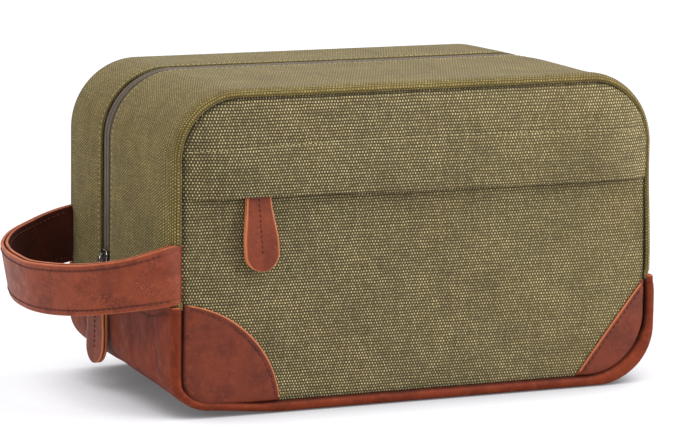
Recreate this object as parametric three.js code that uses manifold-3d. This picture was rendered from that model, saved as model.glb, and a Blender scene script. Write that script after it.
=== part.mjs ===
// A soft canvas and leather toiletry bag (a wash bag for shaving things), standing on its leather base.
// Millimetres. +X runs along the bag to its plain end, the front pocket faces -Y, and +Z is up.
// The origin is the middle of the underside. The carrying loop and the main zip's slider are on the -X end.
//
// The bag is a front panel and a back panel, each sewn to one long gusset that runs round the ends and the top.
// A leather base takes the gusset's place below LEATHER_TOP. The main zip splits the gusset from one end,
// over the top, to the other. Above FLEX_Z the back half leans back when the zip is open.

import * as THREE from "three";
import { mergeVertices } from "three/addons/utils/BufferGeometryUtils.js";
import Module from "manifold-3d";

const wasm = await Module();
wasm.setup();

// ---- Driving dimensions ----
const HALF_LENGTH = 134.5; // gusset's outer face, along X
const HEIGHT = 164;
const HALF_DEPTH = 70; // the gusset's front and back edges, along Y
const TOP_RADIUS = 40;
const BOTTOM_RADIUS = 33;
const LEATHER_TOP = 52; // where the leather base ends and the canvas starts
const FLEX_Z = 89; // the back half above this leans back as one

const PANEL_BULGE = 5; // how far the middle of the front and back stands out from its rim
const BULGE_POWER = 8; // a high power keeps the middle flat and rolls off near the rim
const GAP = 0.3; // clearance between cloth layers that touch on the real bag

const CANVAS = 1.8;
const LEATHER = 2.2;
const LINING = 0.8;
const LINING_INSET = 4.8; // from the gusset's outer face
const LINING_DEPTH = 62; // the gusset lining's front and back edges, along Y
const PANEL_INSET = 2.5; // from the gusset's outer outline to the panels' edges

const ZIP_Y = 20; // the main zip's centre line
const ZIP_SLOT = 6.4; // half the gap between the canvas edges along the zip
const TEETH_GAP = 0.7; // from the zip's centre line to each row of teeth
const TEETH_WIDTH = 2.1;
const TAPE_WIDTH = 11;
const TEETH_TOP = 1.0; // inset of the teeth's outer face
const TEETH_THICK = 1.8;
const TAPE_THICK = 0.7;

const POCKET_ZIP_Z = 124;
const POCKET_ZIP_HALF = 100; // half of its length
const POCKET_TOP = 118; // upper edge of the pocket's canvas
const FLAP_EDGE = 108.5; // lower edge of the placket that hides the pocket zip
const PATCH_RADIUS = 51;

const SLIDER_REST_Z = 65; // main slider's middle when the bag is shut
const POCKET_SLIDER_X = -91;

const HANDLE_WIDTH = 28.8;
const HANDLE_Z = 73; // middle of the strap where it is sewn in
const HANDLE_REACH = 58;
const HANDLE_PIVOT = 136.5; // the loop turns about a line parallel to Y at -X this far out
const HANDLE_STUB = 12; // the ends that stay with the bag reach this far from that line
const HANDLE_DROOP = THREE.MathUtils.degToRad(8);

const colours = {
  canvas: new THREE.Color(0x77704a),
  leather: new THREE.Color(0x7f402c),
  lining: new THREE.Color(0x3b3a38),
  board: new THREE.Color(0x2a2a2a),
  foam: new THREE.Color(0x9a9a92),
  tape: new THREE.Color(0x463b33),
  teeth: new THREE.Color(0x55463d),
  metal: new THREE.Color(0x3a3733),
};

// ---- Solids ----

// A closed three.js geometry as a manifold-3d solid.
function solid(geometry) {
  const plain = geometry.index ? geometry.toNonIndexed() : geometry.clone();
  plain.deleteAttribute("normal");
  plain.deleteAttribute("uv");
  const merged = mergeVertices(plain, 1e-4);
  return new wasm.Manifold(
    new wasm.Mesh({
      numProp: 3,
      vertProperties: merged.attributes.position.array,
      triVerts: new Uint32Array(merged.index.array),
    }),
  );
}

function geometryOf(body) {
  const mesh = body.getMesh();
  const geometry = new THREE.BufferGeometry();
  geometry.setAttribute("position", new THREE.BufferAttribute(mesh.vertProperties, 3));
  geometry.setIndex(new THREE.BufferAttribute(mesh.triVerts, 1));
  geometry.computeVertexNormals();
  return geometry;
}

function box(x0, x1, y0, y1, z0, z1) {
  const block = new THREE.BoxGeometry(x1 - x0, y1 - y0, z1 - z0);
  block.translate((x0 + x1) / 2, (y0 + y1) / 2, (z0 + z1) / 2);
  return solid(block);
}

// Everything between two heights, or between two depths, wide enough for the whole bag.
const between = (z0, z1) => box(-300, 300, -150, 150, z0, z1);
const depths = (y0, y1) => box(-300, 300, y0, y1, -50, 300);

// The bag's outline seen from the front, moved inwards by inset.
function outline(inset) {
  const w = HALF_LENGTH - inset;
  const top = HEIGHT - inset;
  const bottom = inset;
  const rt = TOP_RADIUS - inset;
  const rb = BOTTOM_RADIUS - inset;
  const shape = new THREE.Shape();
  shape.moveTo(w, bottom + rb);
  shape.lineTo(w, top - rt);
  shape.absarc(w - rt, top - rt, rt, 0, Math.PI / 2, false);
  shape.lineTo(-w + rt, top);
  shape.absarc(-w + rt, top - rt, rt, Math.PI / 2, Math.PI, false);
  shape.lineTo(-w, bottom + rb);
  shape.absarc(-w + rb, bottom + rb, rb, Math.PI, 1.5 * Math.PI, false);
  shape.lineTo(w - rb, bottom);
  shape.absarc(w - rb, bottom + rb, rb, 1.5 * Math.PI, 2 * Math.PI, false);
  return shape;
}

// A shape drawn in X and Z, made solid from y0 to y1.
function upright(shape, y0, y1, curveSegments = 8) {
  const geometry = new THREE.ExtrudeGeometry(shape, { depth: y1 - y0, bevelEnabled: false, curveSegments });
  geometry.rotateX(Math.PI / 2);
  geometry.translate(0, y1, 0);
  return solid(geometry);
}

// A hoop of cloth that follows the outline, from one inset to a deeper one.
function hoop(inset, thickness, y0, y1) {
  return upright(outline(inset), y0, y1).subtract(upright(outline(inset + thickness), y0 - 1, y1 + 1));
}

// A cloth panel that fills the outline and bulges outwards: side is -1 at the front and 1 at the back.
// rim is the Y of its outer face at the rim.
function panel(inset, rim, thickness, side) {
  const rings = [1, 0.93, 0.84, 0.7, 0.45];
  const middle = HEIGHT / 2;
  const edge = outline(inset).getPoints(6);
  edge.pop();
  const count = edge.length;
  const points = [];
  const bulge = (k) => PANEL_BULGE * (1 - k ** BULGE_POWER);
  for (const layer of [rim, rim - side * thickness]) {
    for (const k of rings) {
      for (const p of edge) points.push(p.x * k, layer + side * bulge(k), middle + (p.y - middle) * k);
    }
    points.push(0, layer + side * bulge(0), middle);
  }
  const perLayer = rings.length * count + 1;
  const faces = [];
  // side < 0 faces -Y, where the outline's own turning direction already faces outwards.
  const add = (a, b, c, flip) => (flip ? faces.push(a, c, b) : faces.push(a, b, c));
  for (const layer of [0, 1]) {
    const start = layer * perLayer;
    const flip = (layer === 1) === side < 0;
    for (let i = 0; i < count; i += 1) {
      const j = (i + 1) % count;
      for (let r = 0; r + 1 < rings.length; r += 1) {
        const a = start + r * count;
        const b = a + count;
        add(a + i, a + j, b + j, flip);
        add(a + i, b + j, b + i, flip);
      }
      const last = start + (rings.length - 1) * count;
      add(last + i, last + j, start + perLayer - 1, flip);
    }
  }
  for (let i = 0; i < count; i += 1) {
    const j = (i + 1) % count;
    add(i, perLayer + i, perLayer + j, side > 0);
    add(i, perLayer + j, j, side > 0);
  }
  const geometry = new THREE.BufferGeometry();
  geometry.setAttribute("position", new THREE.BufferAttribute(new Float32Array(points), 3));
  geometry.setIndex(faces);
  return solid(geometry);
}

// ---- Nodes ----
const bag = new THREE.Group();

function node(name, body, look, metalness = 0) {
  const material = new THREE.MeshStandardMaterial({ color: colours[look], roughness: 0.8, metalness });
  if (metalness) material.roughness = 0.35;
  const mesh = new THREE.Mesh(body.isBufferGeometry ? body : geometryOf(body), material);
  mesh.name = name;
  bag.add(mesh);
  return mesh;
}

const frontHalf = depths(-HALF_DEPTH, ZIP_Y - ZIP_SLOT);
const backHalf = depths(ZIP_Y + ZIP_SLOT, HALF_DEPTH);
const above = between(FLEX_Z + GAP / 2, HEIGHT + 1);
const below = between(-1, FLEX_Z - GAP / 2);
const left = box(-300, 0, -150, 150, -50, 300);
const right = box(0, 300, -150, 150, -50, 300);

// The leather base and what stiffens it.
function base() {
  node("leather_base", hoop(0, LEATHER, -HALF_DEPTH, HALF_DEPTH).intersect(between(-1, LEATHER_TOP)), "leather");
  const boardHalf = HALF_LENGTH - BOTTOM_RADIUS - 3;
  node("base_board", box(-boardHalf, boardHalf, -63, 63, LEATHER + GAP, LEATHER + GAP + 1.8), "board");
  // The lining's tub is slit on both ends where the zip reaches down into it.
  const slot = box(-300, 300, ZIP_Y - 8, ZIP_Y + 8, LEATHER_TOP + 1, FLEX_Z + 1);
  const tub = hoop(LINING_INSET, LINING, -LINING_DEPTH, LINING_DEPTH).intersect(below).subtract(slot);
  node("lining_tub", tub, "lining");
}

// Canvas gusset, its lining and the binding tapes that cover the seam edges inside.
function gusset() {
  const canvas = hoop(0, CANVAS, -HALF_DEPTH, HALF_DEPTH).intersect(between(LEATHER_TOP + GAP, HEIGHT + 1));
  node("gusset_front", canvas.intersect(frontHalf), "canvas");
  const back = canvas.intersect(backHalf);
  node("gusset_back_upper", back.intersect(above), "canvas");
  node("gusset_back_lower_left", back.intersect(below).intersect(left), "canvas");
  node("gusset_back_lower_right", back.intersect(below).intersect(right), "canvas");
  const lining = hoop(LINING_INSET, LINING, -LINING_DEPTH, LINING_DEPTH).intersect(above);
  node("gusset_lining_front", lining.intersect(depths(-LINING_DEPTH, ZIP_Y - 8)), "lining");
  node("gusset_lining_back", lining.intersect(depths(ZIP_Y + 8, LINING_DEPTH)), "lining");
  const bindingInset = LINING_INSET + LINING + GAP;
  const binding = (y0, y1) => hoop(bindingInset, 1.2, y0, y1);
  node("seam_binding_front", binding(-53, -44), "tape");
  node("seam_binding_back_upper", binding(57, 66).intersect(above), "tape");
  node("seam_binding_back_lower", binding(57, 66).intersect(below), "tape");
}

// Front: the pocket's canvas, the placket over its zip, the wall behind the pocket and the lining.
const POCKET_FACE = -68.5; // Y of the pocket canvas's outer face at its rim
const PLACKET_FACE = -75.3;
const BACK_FACE = HALF_DEPTH + 2.5;
function front() {
  const pocket = panel(PANEL_INSET, POCKET_FACE, 1.6, -1).intersect(between(0, POCKET_TOP));
  node("front_pocket_panel", pocket, "canvas");
  node("front_placket", panel(0.5, PLACKET_FACE, 2.2, -1).intersect(between(FLAP_EDGE, HEIGHT)), "canvas");
  node("pocket_back_wall", panel(8, -57.5, 2.5, -1), "foam");
  node("front_lining", panel(8, -54.6, LINING, -1), "lining");
}

function back() {
  const canvas = panel(0.5, BACK_FACE, 2.2, 1);
  node("back_panel_upper", canvas.intersect(above), "canvas");
  node("back_panel_lower", canvas.intersect(below), "canvas");
  const lining = panel(8, BACK_FACE - 3.2, LINING, 1);
  node("back_lining_upper", lining.intersect(above), "lining");
  node("back_lining_lower", lining.intersect(below), "lining");
}

// Leather patches on the four lower corners of the front and back. Three have a quarter-round edge.
// The front's right one is cut almost straight across: a wide arc whose middle stands SAG proud of the cut.
function cornerPatches() {
  const quarter = (sign) => ({ x: sign * (HALF_LENGTH - 4), z: 6, radius: PATCH_RADIUS });
  const SAG = 1.5;
  const top = { x: 130, z: 56 };
  const foot = { x: 90, z: 5 };
  const chord = Math.hypot(top.x - foot.x, top.z - foot.z);
  const radius = chord ** 2 / (8 * SAG);
  const wide = {
    x: (top.x + foot.x) / 2 + ((top.z - foot.z) / chord) * (radius - SAG),
    z: (top.z + foot.z) / 2 - ((top.x - foot.x) / chord) * (radius - SAG),
    radius,
  };
  const frontSkin = panel(PANEL_INSET, POCKET_FACE - GAP - 1.4, 1.4, -1);
  const backSkin = panel(0.5, BACK_FACE + GAP + 1.4, 1.4, 1);
  const patches = [
    ["front_left", frontSkin, quarter(-1)],
    ["front_right", frontSkin, wide],
    ["back_left", backSkin, quarter(-1)],
    ["back_right", backSkin, quarter(1)],
  ];
  for (const [where, skin, cut] of patches) {
    const circle = new THREE.Shape();
    circle.absarc(cut.x, cut.z, cut.radius, 0, 2 * Math.PI, false);
    const disc = upright(circle, -120, 120, cut.radius > 100 ? 120 : 20);
    node(`corner_patch_${where}`, skin.intersect(disc), "leather");
  }
}

// The main zip: a tape and a row of teeth on each side of ZIP_Y, following the outline.
function mainZip() {
  const zipBottom = between(LEATHER_TOP + 2, HEIGHT + 1);
  const teeth = hoop(TEETH_TOP, TEETH_THICK, -HALF_DEPTH, HALF_DEPTH).intersect(zipBottom);
  const tape = hoop(TEETH_TOP + TEETH_THICK - TAPE_THICK, TAPE_THICK, -HALF_DEPTH, HALF_DEPTH).intersect(zipBottom);
  const teethEdge = TEETH_GAP + TEETH_WIDTH;
  const rows = {
    front: [depths(ZIP_Y - teethEdge, ZIP_Y - TEETH_GAP), depths(ZIP_Y - teethEdge - TAPE_WIDTH, ZIP_Y - teethEdge - GAP)],
    back: [depths(ZIP_Y + TEETH_GAP, ZIP_Y + teethEdge), depths(ZIP_Y + teethEdge + GAP, ZIP_Y + teethEdge + TAPE_WIDTH)],
  };
  node("main_zip_teeth_front", teeth.intersect(rows.front[0]), "teeth");
  node("main_zip_tape_front", tape.intersect(rows.front[1]), "tape");
  const backTeeth = teeth.intersect(rows.back[0]);
  const backTape = tape.intersect(rows.back[1]);
  node("main_zip_teeth_back", backTeeth.intersect(above), "teeth");
  node("main_zip_tape_back", backTape.intersect(above), "tape");
  for (const [end, half] of [["left", left], ["right", right]]) {
    const joined = teeth.intersect(rows.back[0]).add(tape.intersect(depths(ZIP_Y + teethEdge - GAP, ZIP_Y + teethEdge + TAPE_WIDTH)));
    node(`main_zip_foot_back_${end}`, joined.intersect(below).intersect(half), "tape");
    const x = (end === "left" ? -1 : 1) * (HALF_LENGTH - 0.9);
    const stop = box(x - 0.9, x + 0.9, ZIP_Y - 3.5, ZIP_Y + 3.5, LEATHER_TOP + GAP, LEATHER_TOP + 1.7);
    node(`main_zip_stop_${end}`, stop, "metal", 1);
  }
}

// The pocket zip is straight, behind the placket.
const POCKET_ZIP_Y = -70.4; // back face of its teeth
const POCKET_TAPE_Y = -70.2;
function pocketZip() {
  const h = POCKET_ZIP_HALF;
  const edge = TEETH_GAP + TEETH_WIDTH;
  const z = POCKET_ZIP_Z;
  const y = POCKET_ZIP_Y;
  const back = POCKET_TAPE_Y;
  node("pocket_zip_teeth_lower", box(-h, h, y - TEETH_THICK, y, z - edge, z - TEETH_GAP), "teeth");
  node("pocket_zip_teeth_upper", box(-h, h, y - TEETH_THICK, y, z + TEETH_GAP, z + edge), "teeth");
  node("pocket_zip_tape_lower", box(-h - 2, h + 2, back - TAPE_THICK, back, z - edge - TAPE_WIDTH, z - edge - GAP), "tape");
  node("pocket_zip_tape_upper", box(-h - 2, h + 2, back - TAPE_THICK, back, z + edge + GAP, z + edge + TAPE_WIDTH), "tape");
  for (const [end, sign] of [["left", -1], ["right", 1]]) {
    const x = sign * (h + 1.2);
    node(`pocket_zip_stop_${end}`, box(x - 0.8, x + 0.8, y - 2.4, y - 1, z - 3, z + 3), "metal", 1);
  }
}

// ---- Sliders and their pulls ----
// Each is drawn facing -Y: x is its width, z is up, and y = 0 is the outer face of the teeth.
const PLATE = { half: 4.6, length: 13, thick: 1.2, clear: 0.4 };
const BAIL = { half: 1.6, height: 3.8, depth: 3.4, tunnel: 1.15 };
const RING = { width: 10, height: 10.2, wire: 1.3 };
const RING_DROP = RING.height - RING.wire; // from its upper bar to its lower bar
const TAB = { thick: 3.4, neck: 3.3, shoulder: 6.2, half: 9.2, length: 47.5, above: 2.2 };

// The slider's two plates, the post that joins them between the rows of teeth, and the bail for the ring.
// along is "z" or "x", the way that the slider travels.
function sliderBody(along) {
  const half = along === "z" ? [PLATE.half, PLATE.length / 2] : [PLATE.length / 2, PLATE.half];
  const plate = (y0) => box(-half[0], half[0], y0, y0 + PLATE.thick, -half[1], half[1]);
  const outer = -PLATE.clear - PLATE.thick;
  const inner = TEETH_THICK + PLATE.clear;
  const post = along === "z" ? box(-0.4, 0.4, outer + 0.5, inner + 0.5, -6, -3) : box(3, 6, outer + 0.5, inner + 0.5, -0.4, 0.4);
  const bail = box(-BAIL.half, BAIL.half, outer - BAIL.depth, outer + 0.4, -BAIL.height / 2, BAIL.height / 2);
  const centre = outer - BAIL.depth / 2;
  const tunnel = box(-5, 5, centre - BAIL.tunnel, centre + BAIL.tunnel, -BAIL.tunnel, BAIL.tunnel);
  return plate(outer).add(plate(inner)).add(post).add(bail).subtract(tunnel);
}
const RING_OUT = PLATE.clear + PLATE.thick + BAIL.depth / 2; // the ring's bar stands this far out of the teeth

function roundedRectangle(w, h, r) {
  const shape = new THREE.Shape();
  shape.absarc(w / 2 - r, h / 2 - r, r, 0, Math.PI / 2, false);
  shape.absarc(-w / 2 + r, h / 2 - r, r, Math.PI / 2, Math.PI, false);
  shape.absarc(-w / 2 + r, -h / 2 + r, r, Math.PI, 1.5 * Math.PI, false);
  shape.absarc(w / 2 - r, -h / 2 + r, r, 1.5 * Math.PI, 2 * Math.PI, false);
  return shape;
}

// The wire ring, its upper bar on the origin.
function ring() {
  const { width, height, wire } = RING;
  const outer = upright(roundedRectangle(width, height, 2), -wire / 2, wire / 2, 4);
  const inner = upright(roundedRectangle(width - 2 * wire, height - 2 * wire, 1), -wire, wire, 4);
  const geometry = geometryOf(outer.subtract(inner));
  geometry.translate(0, 0, -RING_DROP / 2);
  return geometry;
}

// The leather tab, folded round the ring's lower bar, which is on its origin.
function tab() {
  const { neck, shoulder, half, length, above: top } = TAB;
  const end = top - length + half;
  const shape = new THREE.Shape();
  shape.moveTo(neck, top);
  shape.lineTo(-neck, top);
  shape.lineTo(-neck, -2.5);
  shape.lineTo(-shoulder, -7);
  shape.lineTo(-half, end);
  shape.absarc(0, end, half, Math.PI, 2 * Math.PI, false);
  shape.lineTo(shoulder, -7);
  shape.lineTo(neck, -2.5);
  const hole = box(-12, 12, -BAIL.tunnel, BAIL.tunnel, -BAIL.tunnel, BAIL.tunnel);
  return upright(shape, -TAB.thick / 2, TAB.thick / 2, 6).subtract(hole);
}

// The three pieces of one zip pull in a group that stands on the teeth and can be turned to face outwards.
function zipPull(prefix, along, place, turn) {
  const group = new THREE.Group();
  group.position.copy(place);
  group.rotation.z = turn;
  const pieces = [
    [node(`${prefix}_slider`, sliderBody(along), "metal", 1), 0, 0],
    [node(`${prefix}_pull_ring`, ring(), "metal", 1), -RING_OUT, 0],
    [node(`${prefix}_pull_tab`, tab(), "leather"), -RING_OUT, -RING_DROP],
  ];
  for (const [mesh, y, z] of pieces) {
    mesh.position.set(0, y, z);
    group.add(mesh);
  }
  bag.add(group);
}

// ---- Carrying loop ----
// Half an ellipse seen from above, from the front seam out past the bag's end and back to the rear seam.
function handleBand(inner, outer) {
  const start = -(HALF_LENGTH + 0.6);
  const halfSpan = HALF_DEPTH - 2.2;
  const shape = new THREE.Shape();
  shape.absellipse(start, 0, HANDLE_REACH + outer, halfSpan + outer, 1.5 * Math.PI, 0.5 * Math.PI, true);
  shape.absellipse(start, 0, HANDLE_REACH + inner, halfSpan + inner, 0.5 * Math.PI, 1.5 * Math.PI, false);
  const geometry = new THREE.ExtrudeGeometry(shape, { depth: HANDLE_WIDTH, bevelEnabled: false, curveSegments: 20 });
  geometry.translate(0, 0, -HANDLE_WIDTH / 2);
  return solid(geometry);
}

function handle() {
  // The sewn ends are round where they meet the loop, so the loop can turn about them.
  const around = (radius) => {
    const geometry = new THREE.CylinderGeometry(radius, radius, 200, 40);
    geometry.translate(-HANDLE_PIVOT, 0, 0);
    return solid(geometry);
  };
  const far = box(-300, -(HANDLE_PIVOT + HANDLE_STUB + GAP), -150, 150, -60, 60);
  const stub = handleBand(-2.1, 2.1).intersect(around(HANDLE_STUB));
  const parts = [
    ["handle_outer_leather", handleBand(0.5, 2.1).intersect(far), HANDLE_DROOP],
    ["handle_inner_leather", handleBand(-2.1, -0.5).intersect(far), HANDLE_DROOP],
    ["handle_core", handleBand(-0.2, 0.2).intersect(far), HANDLE_DROOP],
    ["handle_end_front", stub.intersect(depths(-150, 0)), 0],
    ["handle_end_back", stub.intersect(depths(0, 150)), 0],
  ];
  for (const [name, body, droop] of parts) {
    const mesh = node(name, body, name === "handle_core" ? "tape" : "leather");
    mesh.geometry.translate(HANDLE_PIVOT, 0, 0);
    mesh.position.set(-HANDLE_PIVOT, 0, HANDLE_Z);
    mesh.rotation.y = -droop;
  }
}

base();
gusset();
front();
back();
cornerPatches();
mainZip();
pocketZip();
zipPull("main", "z", new THREE.Vector3(-(HALF_LENGTH - TEETH_TOP), ZIP_Y, SLIDER_REST_Z), -Math.PI / 2);
zipPull(
  "pocket",
  "x",
  new THREE.Vector3(POCKET_SLIDER_X, POCKET_ZIP_Y - TEETH_THICK, POCKET_ZIP_Z),
  0,
);
handle();

export default bag;
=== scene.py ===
"""A canvas and leather wash bag: soft shell, leather base, straps and zips, on a white sweep."""

import bmesh
import bpy
import math
import numpy as np
from mathutils import Matrix, Vector


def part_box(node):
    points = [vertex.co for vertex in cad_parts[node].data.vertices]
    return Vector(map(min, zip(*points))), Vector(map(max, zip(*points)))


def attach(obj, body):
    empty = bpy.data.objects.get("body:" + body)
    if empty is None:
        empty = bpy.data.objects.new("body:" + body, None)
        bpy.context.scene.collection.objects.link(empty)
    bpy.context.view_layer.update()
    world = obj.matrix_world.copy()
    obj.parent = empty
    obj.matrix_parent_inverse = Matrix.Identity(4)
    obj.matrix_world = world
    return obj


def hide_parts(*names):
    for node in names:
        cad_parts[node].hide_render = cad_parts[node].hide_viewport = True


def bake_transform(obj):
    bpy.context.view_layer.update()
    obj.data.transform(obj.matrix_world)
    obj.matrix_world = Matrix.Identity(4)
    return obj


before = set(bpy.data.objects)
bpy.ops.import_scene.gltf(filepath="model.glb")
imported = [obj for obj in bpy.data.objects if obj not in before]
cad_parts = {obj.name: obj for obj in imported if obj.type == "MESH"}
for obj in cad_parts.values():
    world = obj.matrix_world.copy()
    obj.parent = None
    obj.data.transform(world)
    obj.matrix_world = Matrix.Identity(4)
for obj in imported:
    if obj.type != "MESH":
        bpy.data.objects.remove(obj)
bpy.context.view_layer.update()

MM = 0.001
BODY = "bag_body"
BACK = "back_half"
LOOP = "carry_loop"

# ---- Driving dimensions, in millimetres; the CAD's own come from its boxes ----


def box_mm(node):
    low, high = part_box(node)
    return np.array(low) / MM, np.array(high) / MM


BASE_HIGH = box_mm("leather_base")[1]
GUSSET_HIGH = box_mm("gusset_front")[1]
HALF_LENGTH, HALF_DEPTH, LEATHER_TOP = BASE_HIGH
HEIGHT = GUSSET_HIGH[2]
ZIP_Y = (box_mm("main_zip_teeth_front")[1][1] + box_mm("main_zip_teeth_back")[0][1]) / 2
ZIP_SLOT = ZIP_Y - GUSSET_HIGH[1]  # from the zip's centre line to the canvas edge
FLAP_EDGE = box_mm("front_placket")[0][2]
PATCH_RADIUS = 60.0
TOP_RADII = ((34.5, 36.0), (38.0, 47.0))  # outside radii over the left and right ends, front and back
LOW_RADII = ((20.0, 34.0), (29.0, 33.0))  # the same under the two ends
BOTTOM_RADIUS = 33.0
ROLL = 2.4  # radius of the roll along the front and back seams
SEAM_INSET = 4.7  # from the gusset's outer face to the seam that the panels rise from
SIDE_BULGE = 1.6
CLOTH = 1.1  # thickness of one ply of canvas as it shows at an edge
PANEL_CLOTH = 1.6  # thickness of the front and back panels, with their backing
HANDLE_PIVOT = -136.5
HANDLE_Z = 73.0
HANDLE_WIDTH = 28.8
HANDLE_ROOT = -131.0
HANDLE_REACH = 54.5
HANDLE_SPAN = 69.7
DROOP = math.radians(11.6)
BACK_DROOP = math.radians(1.2)  # how much less the loop's back half droops
FREE_LOOP = HANDLE_PIVOT - 36  # from here outwards the loop swings as one

# Where the cloth of the back half bends, and the strap beside its roots: start and end of each bend.
BENDS = {
    BACK: ((0, 0, 72.0 * MM), (0, 0, 128.0 * MM)),
    LOOP: ((HANDLE_PIVOT * MM, 0, HANDLE_Z * MM), (FREE_LOOP * MM, 0, HANDLE_Z * MM)),
}

LEFT = (-1.0, 0.0, 0.0)
RIGHT = (1.0, 0.0, 0.0)
FRONT = (0.0, -1.0, 0.0)
ACROSS = (0.0, 1.0, 0.0)
DOWN = (0.0, 0.0, -1.0)
UP = (0.0, 0.0, 1.0)


# ---- Shapes of curves, and smooth noise that gives the same answer every time ----


def lattice(cell, seed):
    """A number from -1 to 1 for each whole-numbered cell."""
    h = cell[..., 0] * 374761393 + cell[..., 1] * 668265263 + cell[..., 2] * 2147483647 + seed * 974634777
    h = (h ^ (h >> 13)) * 1274126177
    h = h ^ (h >> 16)
    return (h & 0xFFFFFF) / float(0x7FFFFF) - 1.0


def smooth_noise(points, size, seed=0):
    """Value noise from -1 to 1, with features about size millimetres across."""
    p = np.asarray(points, float) / size
    base = np.floor(p).astype(np.int64)
    f = p - base
    f = f * f * (3 - 2 * f)
    total = 0.0
    for corner in np.ndindex(2, 2, 2):
        weight = np.prod(np.where(corner, f, 1 - f), axis=-1)
        total = total + weight * lattice(base + np.array(corner), seed)
    return total


def rumple(points, sizes, seed=0):
    """Several sizes of noise, each half as strong as the one before."""
    return sum(smooth_noise(points, size, seed + k * 17) * 0.5**k for k, size in enumerate(sizes))


def ease(t):
    """0 to 1, slow at both ends."""
    t = np.clip(t, 0, 1)
    return t * t * (3 - 2 * t)


def rise(t, power=2.0):
    """0 to 1, slow at the far end only."""
    return 1 - (1 - np.clip(t, 0, 1)) ** power


def bell(value, middle, width):
    """1 at the middle, falling away on both sides."""
    return np.exp(-(((value - middle) / width) ** 2))


def dying(distance, reach):
    """1 at a seam, falling away from it."""
    return np.exp(-np.maximum(distance, 0) / reach)


def rounded(u, r):
    """How far a rounded edge of radius r falls back at a distance u from the edge."""
    return r * (1 - np.sqrt(np.maximum(1 - (1 - np.clip(u / r, 0, 1)) ** 2, 0)))


def points_of(*axes):
    """Broadcasts x, y and z to one array of points."""
    return np.stack(np.broadcast_arrays(*axes), -1).astype(float)


def unit(v):
    return v / np.maximum(np.linalg.norm(v, axis=-1, keepdims=True), 1e-9)


def lengths_along(line):
    """How far each point of a line is from its start."""
    return np.concatenate([[0], np.cumsum(np.linalg.norm(np.diff(line, axis=0), axis=1))])


# ---- Materials ----


def srgb(r, g, b):
    def line(c):
        c /= 255
        return c / 12.92 if c <= 0.04045 else ((c + 0.055) / 1.055) ** 2.4

    return (line(r), line(g), line(b), 1.0)


class Graph:
    """A short way to write a material's nodes."""

    def __init__(self, name, tone=(1.0, 1.0, 1.0)):
        self.tone = tone
        self.material = bpy.data.materials.new(name)
        self.material.use_nodes = True
        self.nodes = self.material.node_tree.nodes
        self.links = self.material.node_tree.links
        self.shader = self.nodes["Principled BSDF"]

    def put(self, socket, value):
        if isinstance(value, bpy.types.NodeSocket):
            self.links.new(value, socket)
        else:
            socket.default_value = value

    def add(self, kind, inputs, **settings):
        """A node of a kind with its settings, and its inputs, by name or number, linked or set."""
        node = self.nodes.new("ShaderNode" + kind)
        for name, setting in settings.items():
            setattr(node, name, setting)
        for key, value in inputs.items():
            self.put(node.inputs[key], value)
        return node

    def math(self, operation, *values):
        return self.add("Math", dict(enumerate(values)), operation=operation).outputs[0]

    def times(self, first, *others):
        for value in others:
            first = self.math("MULTIPLY", first, value)
        return first

    def plus(self, first, *others):
        for value in others:
            first = self.math("ADD", first, value)
        return first

    def cloth_uv(self):
        return self.add("UVMap", {}, uv_map="cloth").outputs[0]

    def split(self, vector):
        return self.add("SeparateXYZ", {0: vector}).outputs

    def join(self, x, y):
        return self.add("CombineXYZ", {0: x, 1: y}).outputs[0]

    def noise(self, vector, size, detail=2.0, rough=0.5):
        """Noise from 0 to 1 with features about size millimetres across."""
        inputs = {"Vector": vector, "Scale": 1.0 / size, "Detail": detail, "Roughness": rough}
        return self.add("TexNoise", inputs).outputs["Fac"]

    def wander(self, vector, size, amount):
        """Noise that is as often below 0 as above it."""
        return self.times(self.math("SUBTRACT", self.noise(vector, size), 0.5), amount)

    def band(self, value, low, high, out_low=0.0, out_high=1.0):
        """value from low to high becomes out_low to out_high, eased at both ends."""
        inputs = {"Value": value, "From Min": low, "From Max": high, "To Min": out_low, "To Max": out_high}
        return self.add("MapRange", inputs, interpolation_type="SMOOTHSTEP").outputs["Result"]

    def mix(self, factor, a, b, blend="MIX"):
        inputs = {"Factor": factor, "A": a, "B": b}
        return self.add("Mix", inputs, data_type="RGBA", blend_type=blend).outputs["Result"]

    def scaled(self, operation, colour, key, value):
        start = colour if isinstance(colour, bpy.types.NodeSocket) else colour[:3]
        return self.add("VectorMath", {0: start, key: value}, operation=operation).outputs[0]

    def tint(self, colour, amount):
        """colour made lighter or darker by a number around 1."""
        return self.scaled("SCALE", colour, "Scale", amount)

    def toned(self, colour):
        """The colour times the material's tone, red, green and blue each."""
        return self.scaled("MULTIPLY", colour, 1, self.tone)

    def seam(self):
        """The "seam" value of a piece's points: painted shade in seams, grooves and along folds, and on
        leather also its pale worn edges.
        """
        return self.add("Attribute", {}, attribute_name="seam").outputs["Fac"]

    def bump(self, height, depth_mm, strength):
        node = self.add("Bump", {"Distance": depth_mm * MM, "Strength": strength, "Height": height})
        self.links.new(node.outputs[0], self.shader.inputs["Normal"])

    def finish(self, colour, rough, metallic=0.0, sheen=0.0, specular=0.5):
        self.put(self.shader.inputs["Base Color"], self.toned(colour))
        self.put(self.shader.inputs["Roughness"], rough)
        self.put(self.shader.inputs["Metallic"], metallic)
        self.put(self.shader.inputs["Sheen Weight"], sheen)
        self.put(self.shader.inputs["Specular IOR Level"], specular)
        return self.material


WEAVE_ALONG = 1.52  # from one pale crossing to the next along a row
WEAVE_ROWS = 3.0  # two rows, the second set half a step over
CANVAS_BASE, CANVAS_PALE, CANVAS_DARK = srgb(94, 86, 55), srgb(222, 217, 184), srgb(34, 29, 14)
CANVAS_WARMTH = (1.06, 0.95, 0.86, 1)


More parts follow.
